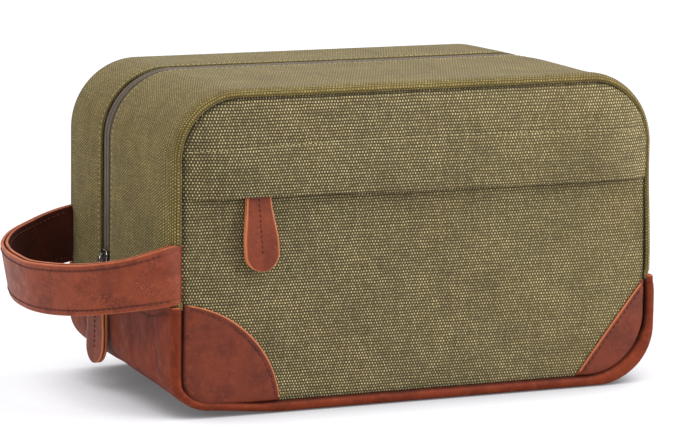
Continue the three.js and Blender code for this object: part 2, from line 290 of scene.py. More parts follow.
def canvas_material(name, dots, tone, gloss, painted_light_ramp):
    """Waxed canvas: plain weave whose pale crossings show as offset rows of dots, worn in soft patches.

    The last argument is the brightness at the left and at the right: painted light, brighter towards the
    right. The dots are plainest at the left."""
    g = Graph(name, tone)
    uv = g.cloth_uv()
    u, v, _ = g.split(uv)
    u = g.plus(u, g.wander(uv, 5.0, 0.95))
    v = g.plus(v, g.wander(uv, 8.0, 0.9))
    turn_v = g.times(v, 2 * math.pi / WEAVE_ROWS)
    crossing = g.times(g.math("COSINE", g.times(u, 2 * math.pi / WEAVE_ALONG)), g.math("COSINE", turn_v))
    row = g.math("COSINE", g.times(turn_v, 2.0))
    cell_u = g.math("ROUND", g.math("DIVIDE", u, WEAVE_ALONG / 2))
    cell_v = g.math("ROUND", g.math("DIVIDE", v, WEAVE_ROWS / 2))
    chance = g.add("TexWhiteNoise", {"Vector": g.join(cell_u, cell_v)}, noise_dimensions="2D")
    luck = g.band(chance.outputs["Value"], 0.0, 1.0, 0.5, 1.2)
    worn = g.noise(uv, 34.0, 3.0, 0.6)
    dot = g.times(g.band(crossing, 0.16, 0.88), luck)
    dot = g.times(dot, g.band(worn, 0.3, 0.7, 0.8 * dots, dots), g.band(u, -130, 130, 1.06, 0.7))
    gap = g.times(g.band(row, -0.2, -0.95), g.band(u, -60, 130, 0.78, 0.5))
    colour = g.mix(gap, g.mix(dot, CANVAS_BASE, CANVAS_PALE), CANVAS_DARK)
    slub_u = g.noise(g.join(g.times(u, 0.06), v), 1.3, 1.0)
    slub_v = g.noise(g.join(u, g.times(v, 0.06)), 1.3, 1.0)
    slubs = g.plus(g.band(slub_u, 0.2, 0.8, -0.13, 0.13), g.band(slub_v, 0.2, 0.8, -0.1, 0.1))
    cloud = g.band(g.noise(uv, 9.0, 3.0), 0.3, 0.7, -0.06, 0.06)
    mottle = g.plus(g.band(worn, 0.25, 0.75, -0.08, 0.08), cloud)
    # The "seam" value darkens the canvas by up to half: painted shade in seam grooves and along folded edges.
    level = g.plus(slubs, mottle, 1.0, g.times(g.seam(), -0.5))
    # Painted light: the canvas grows brighter from left to right.
    colour = g.tint(colour, g.times(level, g.band(u, -140, 140, *painted_light_ramp)))
    warm = g.times(g.band(g.noise(uv, 60.0, 2.0), 0.35, 0.65), 0.3)
    colour = g.mix(warm, colour, g.mix(1.0, colour, CANVAS_WARMTH, "MULTIPLY"))
    g.bump(g.plus(g.times(crossing, 0.5), g.times(row, 0.3), slubs), 0.22, 0.55)
    return g.finish(colour, 0.86, sheen=0.06, specular=gloss)


CRACKLE_PITCH = 1.7


def leather_material(
    name, shades, rough=0.5, crackle=0.5, relief=0.35, worn=None, tone=(1, 1, 1), gloss=0.22
):
    """Waxy pull-up leather: clouded colour, pores, and fine creases where it has been bent.

    Where the "seam" value is above 0 the colour turns to worn, and below 0 it is darker: painted shade in
    stitch grooves and seams."""
    deep, mid, light = shades
    g = Graph(name, tone)
    uv = g.cloth_uv()
    colour = g.mix(g.band(g.noise(uv, 16.0, 4.0, 0.62), 0.33, 0.6), srgb(*deep), srgb(*mid))
    patchy = g.noise(uv, 5.0, 3.0, 0.65)
    colour = g.mix(g.times(g.band(patchy, 0.5, 0.75), 0.55), colour, srgb(*light))
    shaken = g.join(g.noise(uv, 2.4, 2.0), g.noise(uv, 3.1, 2.0))
    shaken = g.scaled("ADD", uv, 1, shaken)
    cracks = {"Vector": shaken, "Scale": 1 / CRACKLE_PITCH}
    distance = g.add("TexVoronoi", cracks, feature="DISTANCE_TO_EDGE").outputs["Distance"]
    where = g.band(g.noise(uv, 13.0, 2.0), 0.46, 0.66)
    crease = g.times(g.band(distance, 0.0, 0.16, 1.0, 0.0), where, crackle)
    colour = g.mix(g.times(crease, 0.55), colour, srgb(*[c * 0.62 for c in deep]))
    lip = g.times(g.band(distance, 0.12, 0.24), g.band(distance, 0.42, 0.26))
    colour = g.mix(g.times(g.times(lip, where, crackle), 0.6), colour, srgb(*light))
    grain = g.noise(uv, 0.55, 3.0, 0.6)
    colour = g.tint(colour, g.band(grain, 0.2, 0.8, 0.93, 1.07))
    if worn is not None:
        mark = g.seam()
        colour = g.mix(g.band(mark, 0, 1), colour, srgb(*worn))
        # Below 0: painted shade, down to 0.35 of the colour.
        colour = g.tint(colour, g.band(mark, -1, 0, 0.35, 1.0))
    g.bump(g.math("SUBTRACT", g.times(grain, 0.5), g.times(crease, 0.8)), 0.16, relief)
    return g.finish(colour, g.band(patchy, 0.2, 0.8, rough + 0.07, rough - 0.07), specular=gloss)


def plain_cloth_material(name, colour, pale, pitch, rough=0.85, seam=0.0):
    """A fine plain weave, for lining, tapes and binding, darker by seam where its "seam" value is 1: painted
    shade.
    """
    g = Graph(name)
    uv = g.cloth_uv()
    u, v, _ = g.split(uv)
    turn = 2 * math.pi / pitch
    weave = g.times(g.math("SINE", g.times(u, turn)), g.math("SINE", g.times(v, turn)))
    tone = g.mix(g.band(weave, -1, 1), srgb(*colour), srgb(*pale))
    tone = g.tint(tone, g.band(g.noise(uv, 8.0, 3.0), 0.3, 0.7, 0.85, 1.12))
    tone = g.tint(tone, g.band(g.seam(), 0, 1, 1.0, 1.0 - seam))
    g.bump(weave, 0.1, 0.5)
    return g.finish(tone, rough, specular=0.3)


def metal_material():
    """Dark antiqued nickel, a little rubbed."""
    g = Graph("dark_nickel")
    place = g.add("TexCoord", {}).outputs["Object"]
    rub = g.noise(place, 2.5 * MM, 3.0)
    colour = g.mix(g.band(rub, 0.35, 0.7), srgb(70, 67, 64), srgb(176, 170, 162))
    g.bump(g.noise(place, 0.4 * MM, 2.0), 0.02, 0.3)
    return g.finish(colour, g.band(rub, 0.3, 0.7, 0.34, 0.22), metallic=1.0)


def thread_material(name, colour):
    """Twisted sewing thread."""
    g = Graph(name)
    u, v, _ = g.split(g.cloth_uv())
    twist = g.math("SINE", g.times(g.plus(u, v), 9.0))
    g.bump(twist, 0.05, 0.5)
    return g.finish(g.tint(srgb(*colour), g.band(twist, -1, 1, 0.8, 1.12)), 0.7, specular=0.3)


def stuffing_material(name, colour, size):
    """Board or padding that only shows from the inside."""
    g = Graph(name)
    place = g.add("TexCoord", {}).outputs["Object"]
    grain = g.noise(place, size * MM, 4.0)
    g.bump(grain, 0.1, 0.4)
    return g.finish(g.tint(srgb(*colour), g.band(grain, 0.3, 0.7, 0.85, 1.15)), 0.9)


def hide(name, tone, crackle=0.5, rough=0.5, **more):
    """The same brown leather, in the shade that its part of the bag has."""
    brown = (108, 52, 36), (132, 68, 48), (156, 88, 64)
    return leather_material(name, brown, rough, crackle, tone=tone, **more)


canvas = canvas_material("canvas_front", 1.0, (0.68, 0.61, 0.475), 0.25, (0.9, 1.12))
canvas_side = canvas_material("canvas_gusset", 0.55, (0.82, 0.715, 0.45), 0.12, (1.0, 1.06))
leather_strap = hide("leather_strap", (0.79, 0.585, 0.4), 0.75, worn=(200, 122, 84))
leather_pulls = hide("leather_pulls", (0.66, 0.46, 0.28), worn=(245, 176, 140))
leather_patch = hide("leather_patches", (0.56, 0.37, 0.23), 0.35, worn=(236, 170, 136))
# The base's leather is toned darker: painted shade for the low part of the bag by the floor.
base_leather_painted_shade = hide("leather_base", (0.65, 0.42, 0.25), 0.3, 0.6, worn=(226, 160, 126), gloss=0.1)
EDGE_SHADES = (140, 72, 44), (166, 92, 58), (184, 114, 78)
FLESH_SHADES = (50, 20, 9), (66, 27, 13), (82, 36, 20)
leather_edge = leather_material("leather_cut_edge", EDGE_SHADES, 0.6, 0.2, relief=0.8)
leather_flesh = leather_material(
    "leather_inner_face", FLESH_SHADES, 0.75, 0.3, worn=(140, 76, 48), tone=(0.75, 0.42, 0.25)
)
lining_cloth = plain_cloth_material("lining", (52, 50, 46), (74, 71, 65), 0.6)
binding_cloth = plain_cloth_material("seam_binding", (44, 38, 33), (62, 54, 46), 1.1)
tape_cloth = plain_cloth_material("zip_tape", (66, 56, 44), (93, 80, 64), 0.8)
# The coil's last number darkens it by its "seam" value: painted shade where the two ridges meet.
coil_plastic = plain_cloth_material("zip_coil", (66, 55, 45), (96, 83, 69), 1.25, 0.5, 0.8)
nickel = metal_material()
thread_olive = thread_material("thread_olive", (150, 140, 98))
thread_brown = thread_material("thread_brown", (84, 32, 17))
board = stuffing_material("base_board", (40, 40, 40), 2.0)
padding = stuffing_material("padding", (86, 84, 74), 3.0)


# ---- Meshes ----


def make_object(name, verts, faces, materials, uv=None, material_of=None, seam=None):
    """A mesh object from points in millimetres. Faces may be quads or longer lists."""
    mesh = bpy.data.meshes.new(name)
    verts = np.array(verts, float)
    verts[:, 0] += STRETCH * np.maximum(verts[:, 0], 0)
    mesh.from_pydata((verts * MM).tolist(), [], [list(f) for f in faces])
    for material in materials:
        mesh.materials.append(material)
    if material_of is not None:
        mesh.polygons.foreach_set("material_index", np.asarray(material_of, np.int32))
    corner = np.empty(len(mesh.loops), np.int32)
    mesh.loops.foreach_get("vertex_index", corner)
    flat = verts[:, [0, 2]] if uv is None else np.asarray(uv)
    layer = mesh.uv_layers.new(name="cloth")
    layer.data.foreach_set("uv", flat[corner].ravel().astype(np.float32))
    # The "seam" attribute holds painted shade in seams, grooves and along folds, and on leather also its pale
    # worn edges.
    if seam is not None:
        shade = mesh.attributes.new("seam", "FLOAT", "POINT")
        shade.data.foreach_set("value", np.asarray(seam, np.float32))
    work = bmesh.new()
    work.from_mesh(mesh)
    bmesh.ops.recalc_face_normals(work, faces=work.faces)
    work.to_mesh(mesh)
    work.free()
    mesh.polygons.foreach_set("use_smooth", np.ones(len(mesh.polygons), bool))
    obj = bpy.data.objects.new(name, mesh)
    bpy.context.collection.objects.link(obj)
    return obj


def quads_of(index):
    return np.stack([index[:-1, :-1], index[1:, :-1], index[1:, 1:], index[:-1, 1:]], -1).reshape(-1, 4)


def ring_faces(index, closed=False):
    """Faces round a row of rings of points, and over its two ends unless it closes on itself."""
    wrapped = np.hstack([index, index[:, :1]])
    if closed:
        return quads_of(np.vstack([wrapped, wrapped[:1]])).tolist()
    return quads_of(wrapped).tolist() + [index[0].tolist(), index[-1][::-1].tolist()]


def flat_uv(u, v):
    """Cloth coordinates, in millimetres, for a grid of points."""
    return points_of(u, v, 0)[..., :2]


def slab(name, outer, inner, uv, materials, seam=None):
    """A closed piece of cloth or leather between two grids of points. Its rim takes the last material."""
    rows, cols = outer.shape[:2]
    count = rows * cols
    index = np.arange(count).reshape(rows, cols)
    top = quads_of(index)
    loop = np.concatenate([index[0], index[1:, -1], index[-1, -2::-1], index[-2::-1, 0]])
    rim = np.stack([loop[:-1], loop[1:], loop[1:] + count, loop[:-1] + count], -1)
    faces = np.vstack([top, top[:, ::-1] + count, rim])
    material_of = np.repeat([0, len(materials) - 1], [2 * len(top), len(rim)])
    verts = np.vstack([outer.reshape(-1, 3), inner.reshape(-1, 3)])
    both = np.vstack([uv.reshape(-1, 2)] * 2)
    shade = None if seam is None else np.concatenate([seam.ravel()] * 2)
    return make_object(name, verts, faces, materials, both, material_of, shade)


def resample(line, pitch):
    """Points every pitch millimetres along a line."""
    along = lengths_along(line)
    at = np.arange(pitch / 2, along[-1], pitch)
    return np.stack([np.interp(at, along, line[:, k]) for k in range(line.shape[1])], -1)


STITCH_STATIONS = np.array([-1.0, -0.85, -0.4, 0.4, 0.85, 1.0])
STITCH_GIRTH = np.array([0.3, 0.75, 1.0, 1.0, 0.75, 0.3])
STITCH_SIDES = 6
STITCH_SUNK = 0.05


def stitches(name, line, normals, material, pitch, length, radius, lean=0.0):
    """A row of separate stitches on a surface: line and normals are its points and outward directions."""
    both = resample(np.hstack([line, normals]), pitch)
    centre = both[:, :3]
    normal = unit(both[:, 3:])
    tangent = unit(np.gradient(centre, axis=0))
    tangent = unit(tangent + unit(np.cross(tangent, normal)) * lean)
    side = unit(np.cross(tangent, normal))
    angle = np.linspace(0, 2 * math.pi, STITCH_SIDES, endpoint=False)
    t = STITCH_STATIONS
    lift = radius * 0.9 * (1 - t**2) - STITCH_SUNK - radius * 0.5 * np.abs(t) ** 3
    girth = STITCH_GIRTH[:, None] * radius
    verts = (
        centre[:, None, None]
        + tangent[:, None, None] * (t * length / 2)[None, :, None, None]
        + normal[:, None, None] * (lift[:, None] + girth * np.sin(angle))[None, :, :, None]
        + side[:, None, None] * (girth * np.cos(angle))[None, :, :, None]
    )
    index = np.arange(verts.size // 3).reshape(verts.shape[:3])
    faces = [face for one in index for face in ring_faces(one)]
    return make_object(name, verts.reshape(-1, 3), faces, [material])


def settle(obj, body, *nodes, slot, flat=None, held="stretched"):
    """Puts a piece on its body, or only bakes its transform where the body bends, and hides its CAD nodes.
    slot and flat are not used.
    """
    if nodes:
        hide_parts(*nodes)
    if body in BENDS:
        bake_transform(obj)
    else:
        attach(obj, body)


# ---- The bag's surface ----

FRONT_DEPTH = 72.0  # how far the rolls beside the seams stand out, at the front and the back
BACK_DEPTH = 73.5
STRETCH = 0.0125  # the right end is stuffed a little longer than the left
PANEL_SHIFT = 0.5

# A seam's corner radii: top left, top right, bottom left, bottom right.
FRONT_SEAM = (30.0, 33.0, 15.5, 32.0)
BACK_SEAM = (31.5, 42.5, 29.0, 29.0)


def end_radius(radii, y):
    """An end's outside radius, which changes evenly from the front to the back."""
    front, back = radii
    return front + (back - front) * np.clip((y + HALF_DEPTH) / (2 * HALF_DEPTH), 0, 1)


def stretches(rise_by, radius):
    """The lengths of a path's side, corner and middle, for a corner of a usual radius."""
    return rise_by - radius, radius * math.pi / 2, 2 * (HALF_LENGTH - radius)


OVER = stretches(HEIGHT - LEATHER_TOP, 38.0)
UNDER = stretches(LEATHER_TOP, BOTTOM_RADIUS)
OVER_LENGTH = 2 * OVER[0] + 2 * OVER[1] + OVER[2]
UNDER_LENGTH = 2 * UNDER[0] + 2 * UNDER[1] + UNDER[2]


def shares(s, lengths):
    """How far length s has come through each of the five stretches: side, corner, middle, corner, side."""
    side, corner, middle = lengths
    out = []
    start = 0.0
    for length in (side, corner, middle, corner, side):
        out.append(np.clip((s - start) / length, 0, 1))
        start += length
    return out


def path_round(s, y, radii, lengths, total, up):
    """Round the bag from left to right leather edge: x, z and outward direction at length s, depth y."""
    left, right = end_radius(radii[0], y), end_radius(radii[1], y)
    reach = HEIGHT - LEATHER_TOP if up > 0 else LEATHER_TOP
    a, b, c, d, e = shares(s, lengths)
    turn = math.pi / 2
    x = -HALF_LENGTH + left * (1 - np.cos(b * turn)) + c * (2 * HALF_LENGTH - left - right)
    x = x + right * np.sin(d * turn)
    climb = a * (reach - left) + left * np.sin(b * turn)
    climb = climb - right * (1 - np.cos(d * turn)) - e * (reach - right)
    z = LEATHER_TOP + up * (climb + np.minimum(s, 0) - np.maximum(s - total, 0))
    angle = math.pi - up * (b + d) * turn
    return x, z, np.cos(angle), np.sin(angle)


def over_top(s, y):
    """Up the left end, over the top and down the right one."""
    return path_round(s, y, TOP_RADII, OVER, OVER_LENGTH, 1)


def under(s, y):
    """Down the left end, under the bag and up the right one."""
    x, z, nx, nz = path_round(s, y, LOW_RADII, UNDER, UNDER_LENGTH, -1)
    return x, z + underside_lift(x, y, z), nx, nz


def underside_lift(x, y, z):
    """The stuffed bag rests on its middle and right, and its left end lifts a little, most at the back."""
    return (3.4 + 2.8 * ease((y + 76) / 70.0)) * ease((-x - 72) / 50.0) * (1 - ease(z / 30.0))


def soft_swell(x, y, z, nx):
    """How far the soft sides stand out or dip in between seams; nothing at the zip, which is stiffer."""
    free = ease((1 - (y / 71.0) ** 2) * 2.2) * (1 - bell(y, ZIP_Y, 13.0))
    swell = SIDE_BULGE * np.abs(nx) * np.sin(np.clip(z / HEIGHT, 0, 1) * math.pi)
    cloth = 0.6 * rumple(points_of(x, y, z), (58, 26, 12), 41) * ease((z - LEATHER_TOP + 6) / 20)
    folds = points_of(x * 0.2, y, z * 0.22)
    creased = 0.75 * rumple(folds, (13, 6), 47) * np.abs(nx) * ease((LEATHER_TOP - z) / 12) * ease(z / 12)
    return free * (swell + cloth + creased)


def skin(path, s, y, inset):
    """Points on the gusset at length s, depth y and inset inwards, with the outward directions."""
    x, z, nx, nz = path(s, y)
    out = soft_swell(x, y, z, nx) - inset
    right_end = ease(x / 90.0) * np.maximum(nx, 0)
    hip = 1.3 * right_end * ease((60 - z) / 14.0) * ease(z / 10.0)
    lean = -1.7 * right_end * ease((z - 66) / 50.0)
    point = points_of(x + nx * (out + hip) + lean, y + 0 * s, z + nz * out)
    return point, points_of(nx, 0 * (s + y), nz)


def along_strip(name, path, s, y, top_inset, low_inset, material, seam=None):
    """A strip that runs along the gusset, between two insets, at the depths y."""
    y = y[None]
    top, _ = skin(path, s, y, top_inset + 0 * s)
    low, _ = skin(path, s, y, low_inset + 0 * s)
    return slab(name, top, low, flat_uv(s, y), [material], seam)


SEAM_LOW = SEAM_INSET
SEAM_HIGH = HEIGHT - SEAM_INSET
SEAM_MIDDLE = (SEAM_LOW + SEAM_HIGH) / 2
SEAM_HALF = HALF_LENGTH - SEAM_INSET
TUCKED = 1.2  # how far a panel runs on past its seam, behind the roll


def seam_distance(x, z, seam):
    """How far inside the front or back seam a point lies."""
    top = np.where(x < 0, seam[0], seam[1])
    r = np.where(z > SEAM_MIDDLE, top, np.where(x < 0, seam[2], seam[3]))
    qx = np.abs(x) - SEAM_HALF + r
    qz = np.abs(z - SEAM_MIDDLE) - (SEAM_HIGH - SEAM_LOW) / 2 + r
    outside = np.hypot(np.maximum(qx, 0), np.maximum(qz, 0)) + np.minimum(np.maximum(qx, qz), 0)
    return r - outside


def puckers(x, z, d):
    """Short ripples square to the seam, dying away from it."""
    along = np.where(np.abs(x) > HALF_LENGTH - 20, z, x)
    ripple = smooth_noise(points_of(along, 0.0, np.sign(x) * 50), 6.5, 21)
    return 0.25 * ripple * dying(d, 7) * ease(d / 1.5)


def stuffed(x, z, d, depth, lip, lip_reach, swell, soft, rough, sizes, seed, plane=0.0):
    """How far a panel stands out: a lip at its seam, then its swell, rumpled from soft mm inwards."""
    base = depth + lip * (1 - dying(d, lip_reach)) + swell
    return base + ease(d / soft) * rough * rumple(points_of(x, plane, z), sizes, seed) + puckers(x, z, d)


def pocket_face(x, z):
    """Y of the front pocket's canvas."""
    d = seam_distance(x, z, FRONT_SEAM)
    return -stuffed(x, z, d, 69.3, 1.5, 1.1, 2.7 * rise(d / 55), 14, 0.5, (46, 21), 3)


def placket_face(x, z):
    """Y of the upper canvas, which swells over the hidden zip and dips along its stitching."""
    d = seam_distance(x, z, FRONT_SEAM)
    swell = 6.9 * rise(d / 36, 2.2) + 1.2 * bell(z, 121, 10.0) * ease(d / 25)
    y = stuffed(x, z, d, 70.0, 1.4, 1.2, swell, 16, 0.45, (52, 24), 9)
    return 0.5 * bell(z, stitch_row(x), 1.6) * ease(d / 6) - y


def back_face(x, z):
    """Y of the back canvas."""
    d = seam_distance(x, z, BACK_SEAM)
    return stuffed(x, z, d, 70.8, 1.6, 1.2, 5.6 * rise(d / 60), 14, 0.8, (60, 27), 31, 90.0)


def stitch_row(x):
    """Height of the placket's stitching, which arches a little."""
    return 136.6 - 3.0 * (x / 130.0) ** 2


def placket_edge(x):
    """Height of the placket's lower edge, which drops a little to the right."""
    return FLAP_EDGE + 0.9 - 1.1 * x / 130.0 + 0.35 * smooth_noise(points_of(x, 0.0, 0.0), 30, 5)


ROW_STEP = 2.6


def panel_rows(low, high, seam):
    """Heights for a panel's rows, close together near its seams and round its corners."""
    turn = 1 - np.cos(np.linspace(0, math.pi / 2, 20))
    rows = [SEAM_LOW + r * turn for r in seam[2:]] + [SEAM_HIGH - r * turn for r in seam[:2]]
    near = np.array([-TUCKED, 0.3, 0.9, 1.6, 2.5, 3.6])
    middle = np.arange(SEAM_LOW + 30, SEAM_HIGH - 30, ROW_STEP)
    rows = np.concatenate([*rows, SEAM_LOW + near, SEAM_HIGH - near, middle, [low, high]])
    rows = np.unique(np.round(rows, 3))
    rows = rows[(rows >= low) & (rows <= high)]
    keep = [rows[0]]
    for z in rows[1:]:
        if z - keep[-1] > 0.25 or z == rows[-1]:
            keep.append(z)
    return np.array(keep)


def seam_edge(z, top, low):
    """How far out the panel's edge is at a height, tucked behind the roll, for two corner radii."""
    up = np.maximum(z - (SEAM_HIGH - top), 0)
    down = np.maximum((SEAM_LOW + low) - z, 0)
    reach_up = np.sqrt(np.maximum((top + TUCKED) ** 2 - up**2, 0)) - top
    reach_down = np.sqrt(np.maximum((low + TUCKED) ** 2 - down**2, 0)) - low
    return SEAM_HALF + np.where(z > 80, reach_up, reach_down)


def panel_grid(rows, seam, count=92):
    """A panel's points, with its columns closer together near the seams."""
    t = np.linspace(-1, 1, count)[None, :]
    t = np.sin(t * math.pi / 2) * 0.55 + t * 0.45
    left = -seam_edge(rows, seam[0], seam[2])[:, None]
    right = seam_edge(rows, seam[1], seam[3])[:, None]
    x = (left + right) / 2 + t * (right - left) / 2
    return x, rows[:, None] + 0 * x


# ---- Gusset strips, from the zip to the front and back seams ----

HEM = 0.75  # radius of the folded edge beside the zip
HEM_STITCH = 2.3
FRONT_TURN = (7.5, 3.4)  # where the gusset turns in towards the front seam: its length and its depth
BACK_TURN = (4.0, 2.2)


def strip_profile(fold_y, side):
    """Depths and insets, outside and inside, from the folded edge to the roll at the seam on that side."""
    depth, (turn_in, turn_depth) = (BACK_DEPTH, BACK_TURN) if side > 0 else (FRONT_DEPTH, FRONT_TURN)
    tip = SEAM_INSET - turn_depth  # radius of the narrow roll at the seam
    length = depth - turn_in - side * fold_y
    near = [0.0, 0.08, 0.25, 0.55, 1.0, 1.5, 1.9, 2.3, 2.7, 3.2, 4.2]
    u = np.concatenate([near, np.arange(5.4, length - 0.8, 2.3), [length - 0.6]])
    y_flat = fold_y + side * u
    out_flat = rounded(u, HEM) + 0.28 * bell(u, HEM_STITCH, 0.4)
    in_flat = 1.5 - 0.7 * rounded(u, HEM) - (1.5 - CLOTH) * ease((u - 5) / 3)
    turn = np.radians([0, 10, 20, 32, 44, 56, 68, 80, 90])
    over = np.radians([105, 122, 140, 156, 172])

    def roll(thick):
        """The turn and the tip, thick millimetres inside their outer face."""
        y_turn = depth - turn_in + (turn_in - thick) * np.sin(turn)
        y_tip = depth - tip + (tip - thick) * np.sin(over)
        in_turn = turn_depth - (turn_depth - thick) * np.cos(turn)
        in_tip = turn_depth - (tip - thick) * np.cos(over)
        return side * np.concatenate([y_turn, y_tip]), np.concatenate([in_turn, in_tip])

    (y_roll, out_roll), (y_in, in_roll) = roll(0.0), roll(CLOTH)
    return (
        np.concatenate([y_flat, y_roll]),
        np.concatenate([out_flat, out_roll]),
        np.concatenate([y_flat, y_in]),
        np.concatenate([in_flat, in_roll]),
    )


def dent(path, s, y):
    """The roll gives way where the strap's ends are sewn in."""
    x, z, _, _ = path(s, y)
    held = ease((z - 58.4) / 3.0) * (1 - ease((z - 84.6) / 3.0)) * (x < 0)
    return 4.4 * held * ease((np.abs(y) - 60) / 6)


def strip_surface(path, s, y, inset):
    y = y + 0 * s
    return skin(path, s, y - np.sign(y) * dent(path, s, y), inset + 0 * s)


def tuck(path, s, y):
    """The canvas lies just under the leather where they overlap."""
    _, z, _, _ = path(s, y)
    return 0.8 * (1 - ease((z - LEATHER_TOP + 0.5) / 7))


def path_steps(length, step, low, high):
    return np.linspace(low, length + high, int((length + high - low) / step) + 1)[:, None]


def girth_of(y, inset):
    """How far each point of a cross section is from its start."""
    return np.cumsum(np.hypot(np.gradient(y), np.gradient(inset)))[None]


ENDS_RAISED = 5.6  # how far a strip's ends are drawn up beside the corner patches


def gusset_strip(name, fold_y, side):
    s = path_steps(OVER_LENGTH, 2.2, -3.0, 3.0)
    y_out, out, y_in, inner = strip_profile(fold_y, side)
    under_it = tuck(over_top, s, y_out[None])
    raised = ENDS_RAISED * ease((np.abs(y_out[None]) - 60) / 6)
    place = s + raised * (ease((10 - s) / 12) - ease((s - OVER_LENGTH + 10) / 12))
    top, _ = strip_surface(over_top, place, y_out[None], out[None] + under_it)
    bottom, _ = strip_surface(over_top, place, y_in[None], inner[None] + under_it)
    groove = np.clip((out - 3.5) / 1.2, 0, 1) ** 1.5 * (np.abs(y_out) > 60)  # painted shade in the seam's groove
    # The second term is painted shade along the folded edge beside the zip.
    shade = (groove + 0.35 * np.exp(-np.abs(y_out - fold_y) / 1.2))[None] + 0 * s
    return slab(name, top, bottom, flat_uv(s, girth_of(y_out, out)), [canvas_side], shade)


fold_front = ZIP_Y - ZIP_SLOT
fold_back = ZIP_Y + ZIP_SLOT
gusset_front = gusset_strip("gusset_front_canvas", fold_front, -1)
settle(gusset_front, BODY, "gusset_front", slot="canvas", flat=(0.09, 0.52))
gusset_back = gusset_strip("gusset_back_canvas", fold_back, 1)
back_nodes = "gusset_back_upper", "gusset_back_lower_left", "gusset_back_lower_right"
settle(gusset_back, BACK, *back_nodes, slot="canvas", flat=(0.05, 0.52))


def line_on(path, s, y, inset):
    """A line of points lying on the gusset, with outward directions."""
    point, normal = strip_surface(path, s, y, inset)
    return point.reshape(-1, 3), normal.reshape(-1, 3)


for name, body, fold_y, side in (("front", BODY, fold_front, -1), ("back", BACK, fold_back, 1)):
    s = np.linspace(2, OVER_LENGTH - 2, 500)
    y = fold_y + side * HEM_STITCH + 0 * s
    line, normal = line_on(over_top, s, y, tuck(over_top, s, y) + 0.22)
    row = stitches(f"stitches_hem_{name}", line, normal, thread_olive, 2.9, 2.0, 0.25)
    settle(row, body, slot="canvas")


# ---- Leather base, in one piece up both ends ----

HIDE = 1.4
PROUD = 0.5
TOP_STITCH = 3.0  # from the leather's top edge to its stitching


def base_profile():
    """Depths and insets of the base's cross section, with a roll at each seam."""
    turn = np.radians(np.linspace(0, 172, 13))
    front, back = FRONT_DEPTH - ROLL, BACK_DEPTH - ROLL
    flat = np.linspace(-front + 0.6, back - 0.6, 62)

    def section(thick):
        """The profile, thick millimetres inside its outer face."""
        r = ROLL + PROUD - thick
        curl = ROLL - r * np.cos(turn)
        y = np.concatenate([-front - r * np.sin(turn[::-1]), flat, back + r * np.sin(turn)])
        return y, np.concatenate([curl[::-1], 0 * flat - PROUD + thick, curl])

    return *section(0.0), *section(HIDE)


def lifted(s, y):
    """Lengths along the base, moved so that its two top edges rise towards the seams."""
    by = 0.5 + 3.9 * ease((np.abs(y) - 44) / 26.0)
    return s - by * ease((22 - s) / 22) + by * ease((s - UNDER_LENGTH + 22) / 22)


def roll_width(s, side_depth):
    """How many times its usual width the roll has at a length, where the seam cuts the corner."""
    x, z, nx, nz = under(s, side_depth)
    seam = FRONT_SEAM if side_depth < 0 else BACK_SEAM
    reach = np.full(np.shape(s), SEAM_INSET)
    for step in np.arange(1.0, 12.0, 0.25):
        still = seam_distance(x - nx * step, z - nz * step, seam) < 0
        reach = np.where(still, step + 0.25, reach)
    return np.clip(reach / SEAM_INSET, 0.85, 2.2)


def leather_base():
    near = np.array([0.0, 0.12, 0.35, 0.8, 1.5, 2.4, 3.4, 4.6])
    middle = np.arange(6.5, UNDER_LENGTH - 6, 2.3)
    s = np.concatenate([near, middle, UNDER_LENGTH - near[::-1]])[:, None]
    y, out, y_in, inner = base_profile()
    end = np.minimum(s, UNDER_LENGTH - s)
    edge = rounded(end, 0.6)
    groove = 0.25 * bell(end, TOP_STITCH, 0.6)
    wide = np.where(y[None] < 0, roll_width(s, -HALF_DEPTH), roll_width(s, HALF_DEPTH))
    wide = 1 + (wide - 1) * ease((np.abs(y)[None] - 64) / 5.0)
    place = lifted(s, y[None])
    top, _ = skin(under, place, y[None], (out[None] + PROUD) * wide - PROUD + edge + groove)
    bottom, _ = skin(under, place, y_in[None], (inner[None] + PROUD) * wide - PROUD - edge * 0.7)
    # Pale worn top edge, and painted shade in the stitching's groove.
    edge_band = 0.5 * (1 - ease((end - 0.3) / 0.8)) - 0.8 * bell(end, TOP_STITCH, 0.5) + 0 * y[None]
    # Painted shade where the roll turns into the seam's groove.
    edge_band = edge_band - np.clip((out[None] - 3.6) / 1.2, 0, 1)
    return slab("base_leather", top, bottom, flat_uv(s, girth_of(y, out)), [base_leather_painted_shade, leather_edge], edge_band)


settle(leather_base(), BODY, "leather_base", slot="leather")

across = np.linspace(-HALF_DEPTH + 4, HALF_DEPTH - 4, 220)
for where, at in (("left", TOP_STITCH), ("right", UNDER_LENGTH - TOP_STITCH)):
    line, normal = line_on(under, lifted(at + 0 * across, across), across, -PROUD + 0.2)
    row = stitches(f"stitches_base_{where}", line, normal, thread_brown, 3.3, 2.3, 0.33)
    settle(row, BODY, slot="leather")


# ---- Front and back panels ----

PLACKET_CLOTH = 1.7
FLAP_ROUND = 0.85  # radius of the placket's folded lower edge


def panel(name, rows, seam, face, side, thick=PANEL_CLOTH, shift=None, fold=None):
    x, z = panel_grid(rows, seam)
    if shift is not None:
        z = z + shift(x, z)
    outer = points_of(x + PANEL_SHIFT, face(x, z), z)
    normal = np.cross(np.gradient(outer, axis=0), np.gradient(outer, axis=1))
    normal = unit(normal)
    normal = normal * np.sign(normal[..., 1:2]) * side
    inner = outer - normal * thick
    # Painted shade along the seam.
    shade = 0.8 * dying(seam_distance(x, z, seam), 0.8)
    if fold is not None:
        above = rows[:, None] - rows[0]
        fall = rounded(above, fold)[..., None]
        outer = outer - normal * fall
        inner = inner + normal * fall * 0.8
        # Painted shade along the placket's folded lower edge.
        shade = shade + 0.25 * np.exp(-above / 0.9)
    return slab(name, outer, inner, flat_uv(x, z), [canvas], shade)


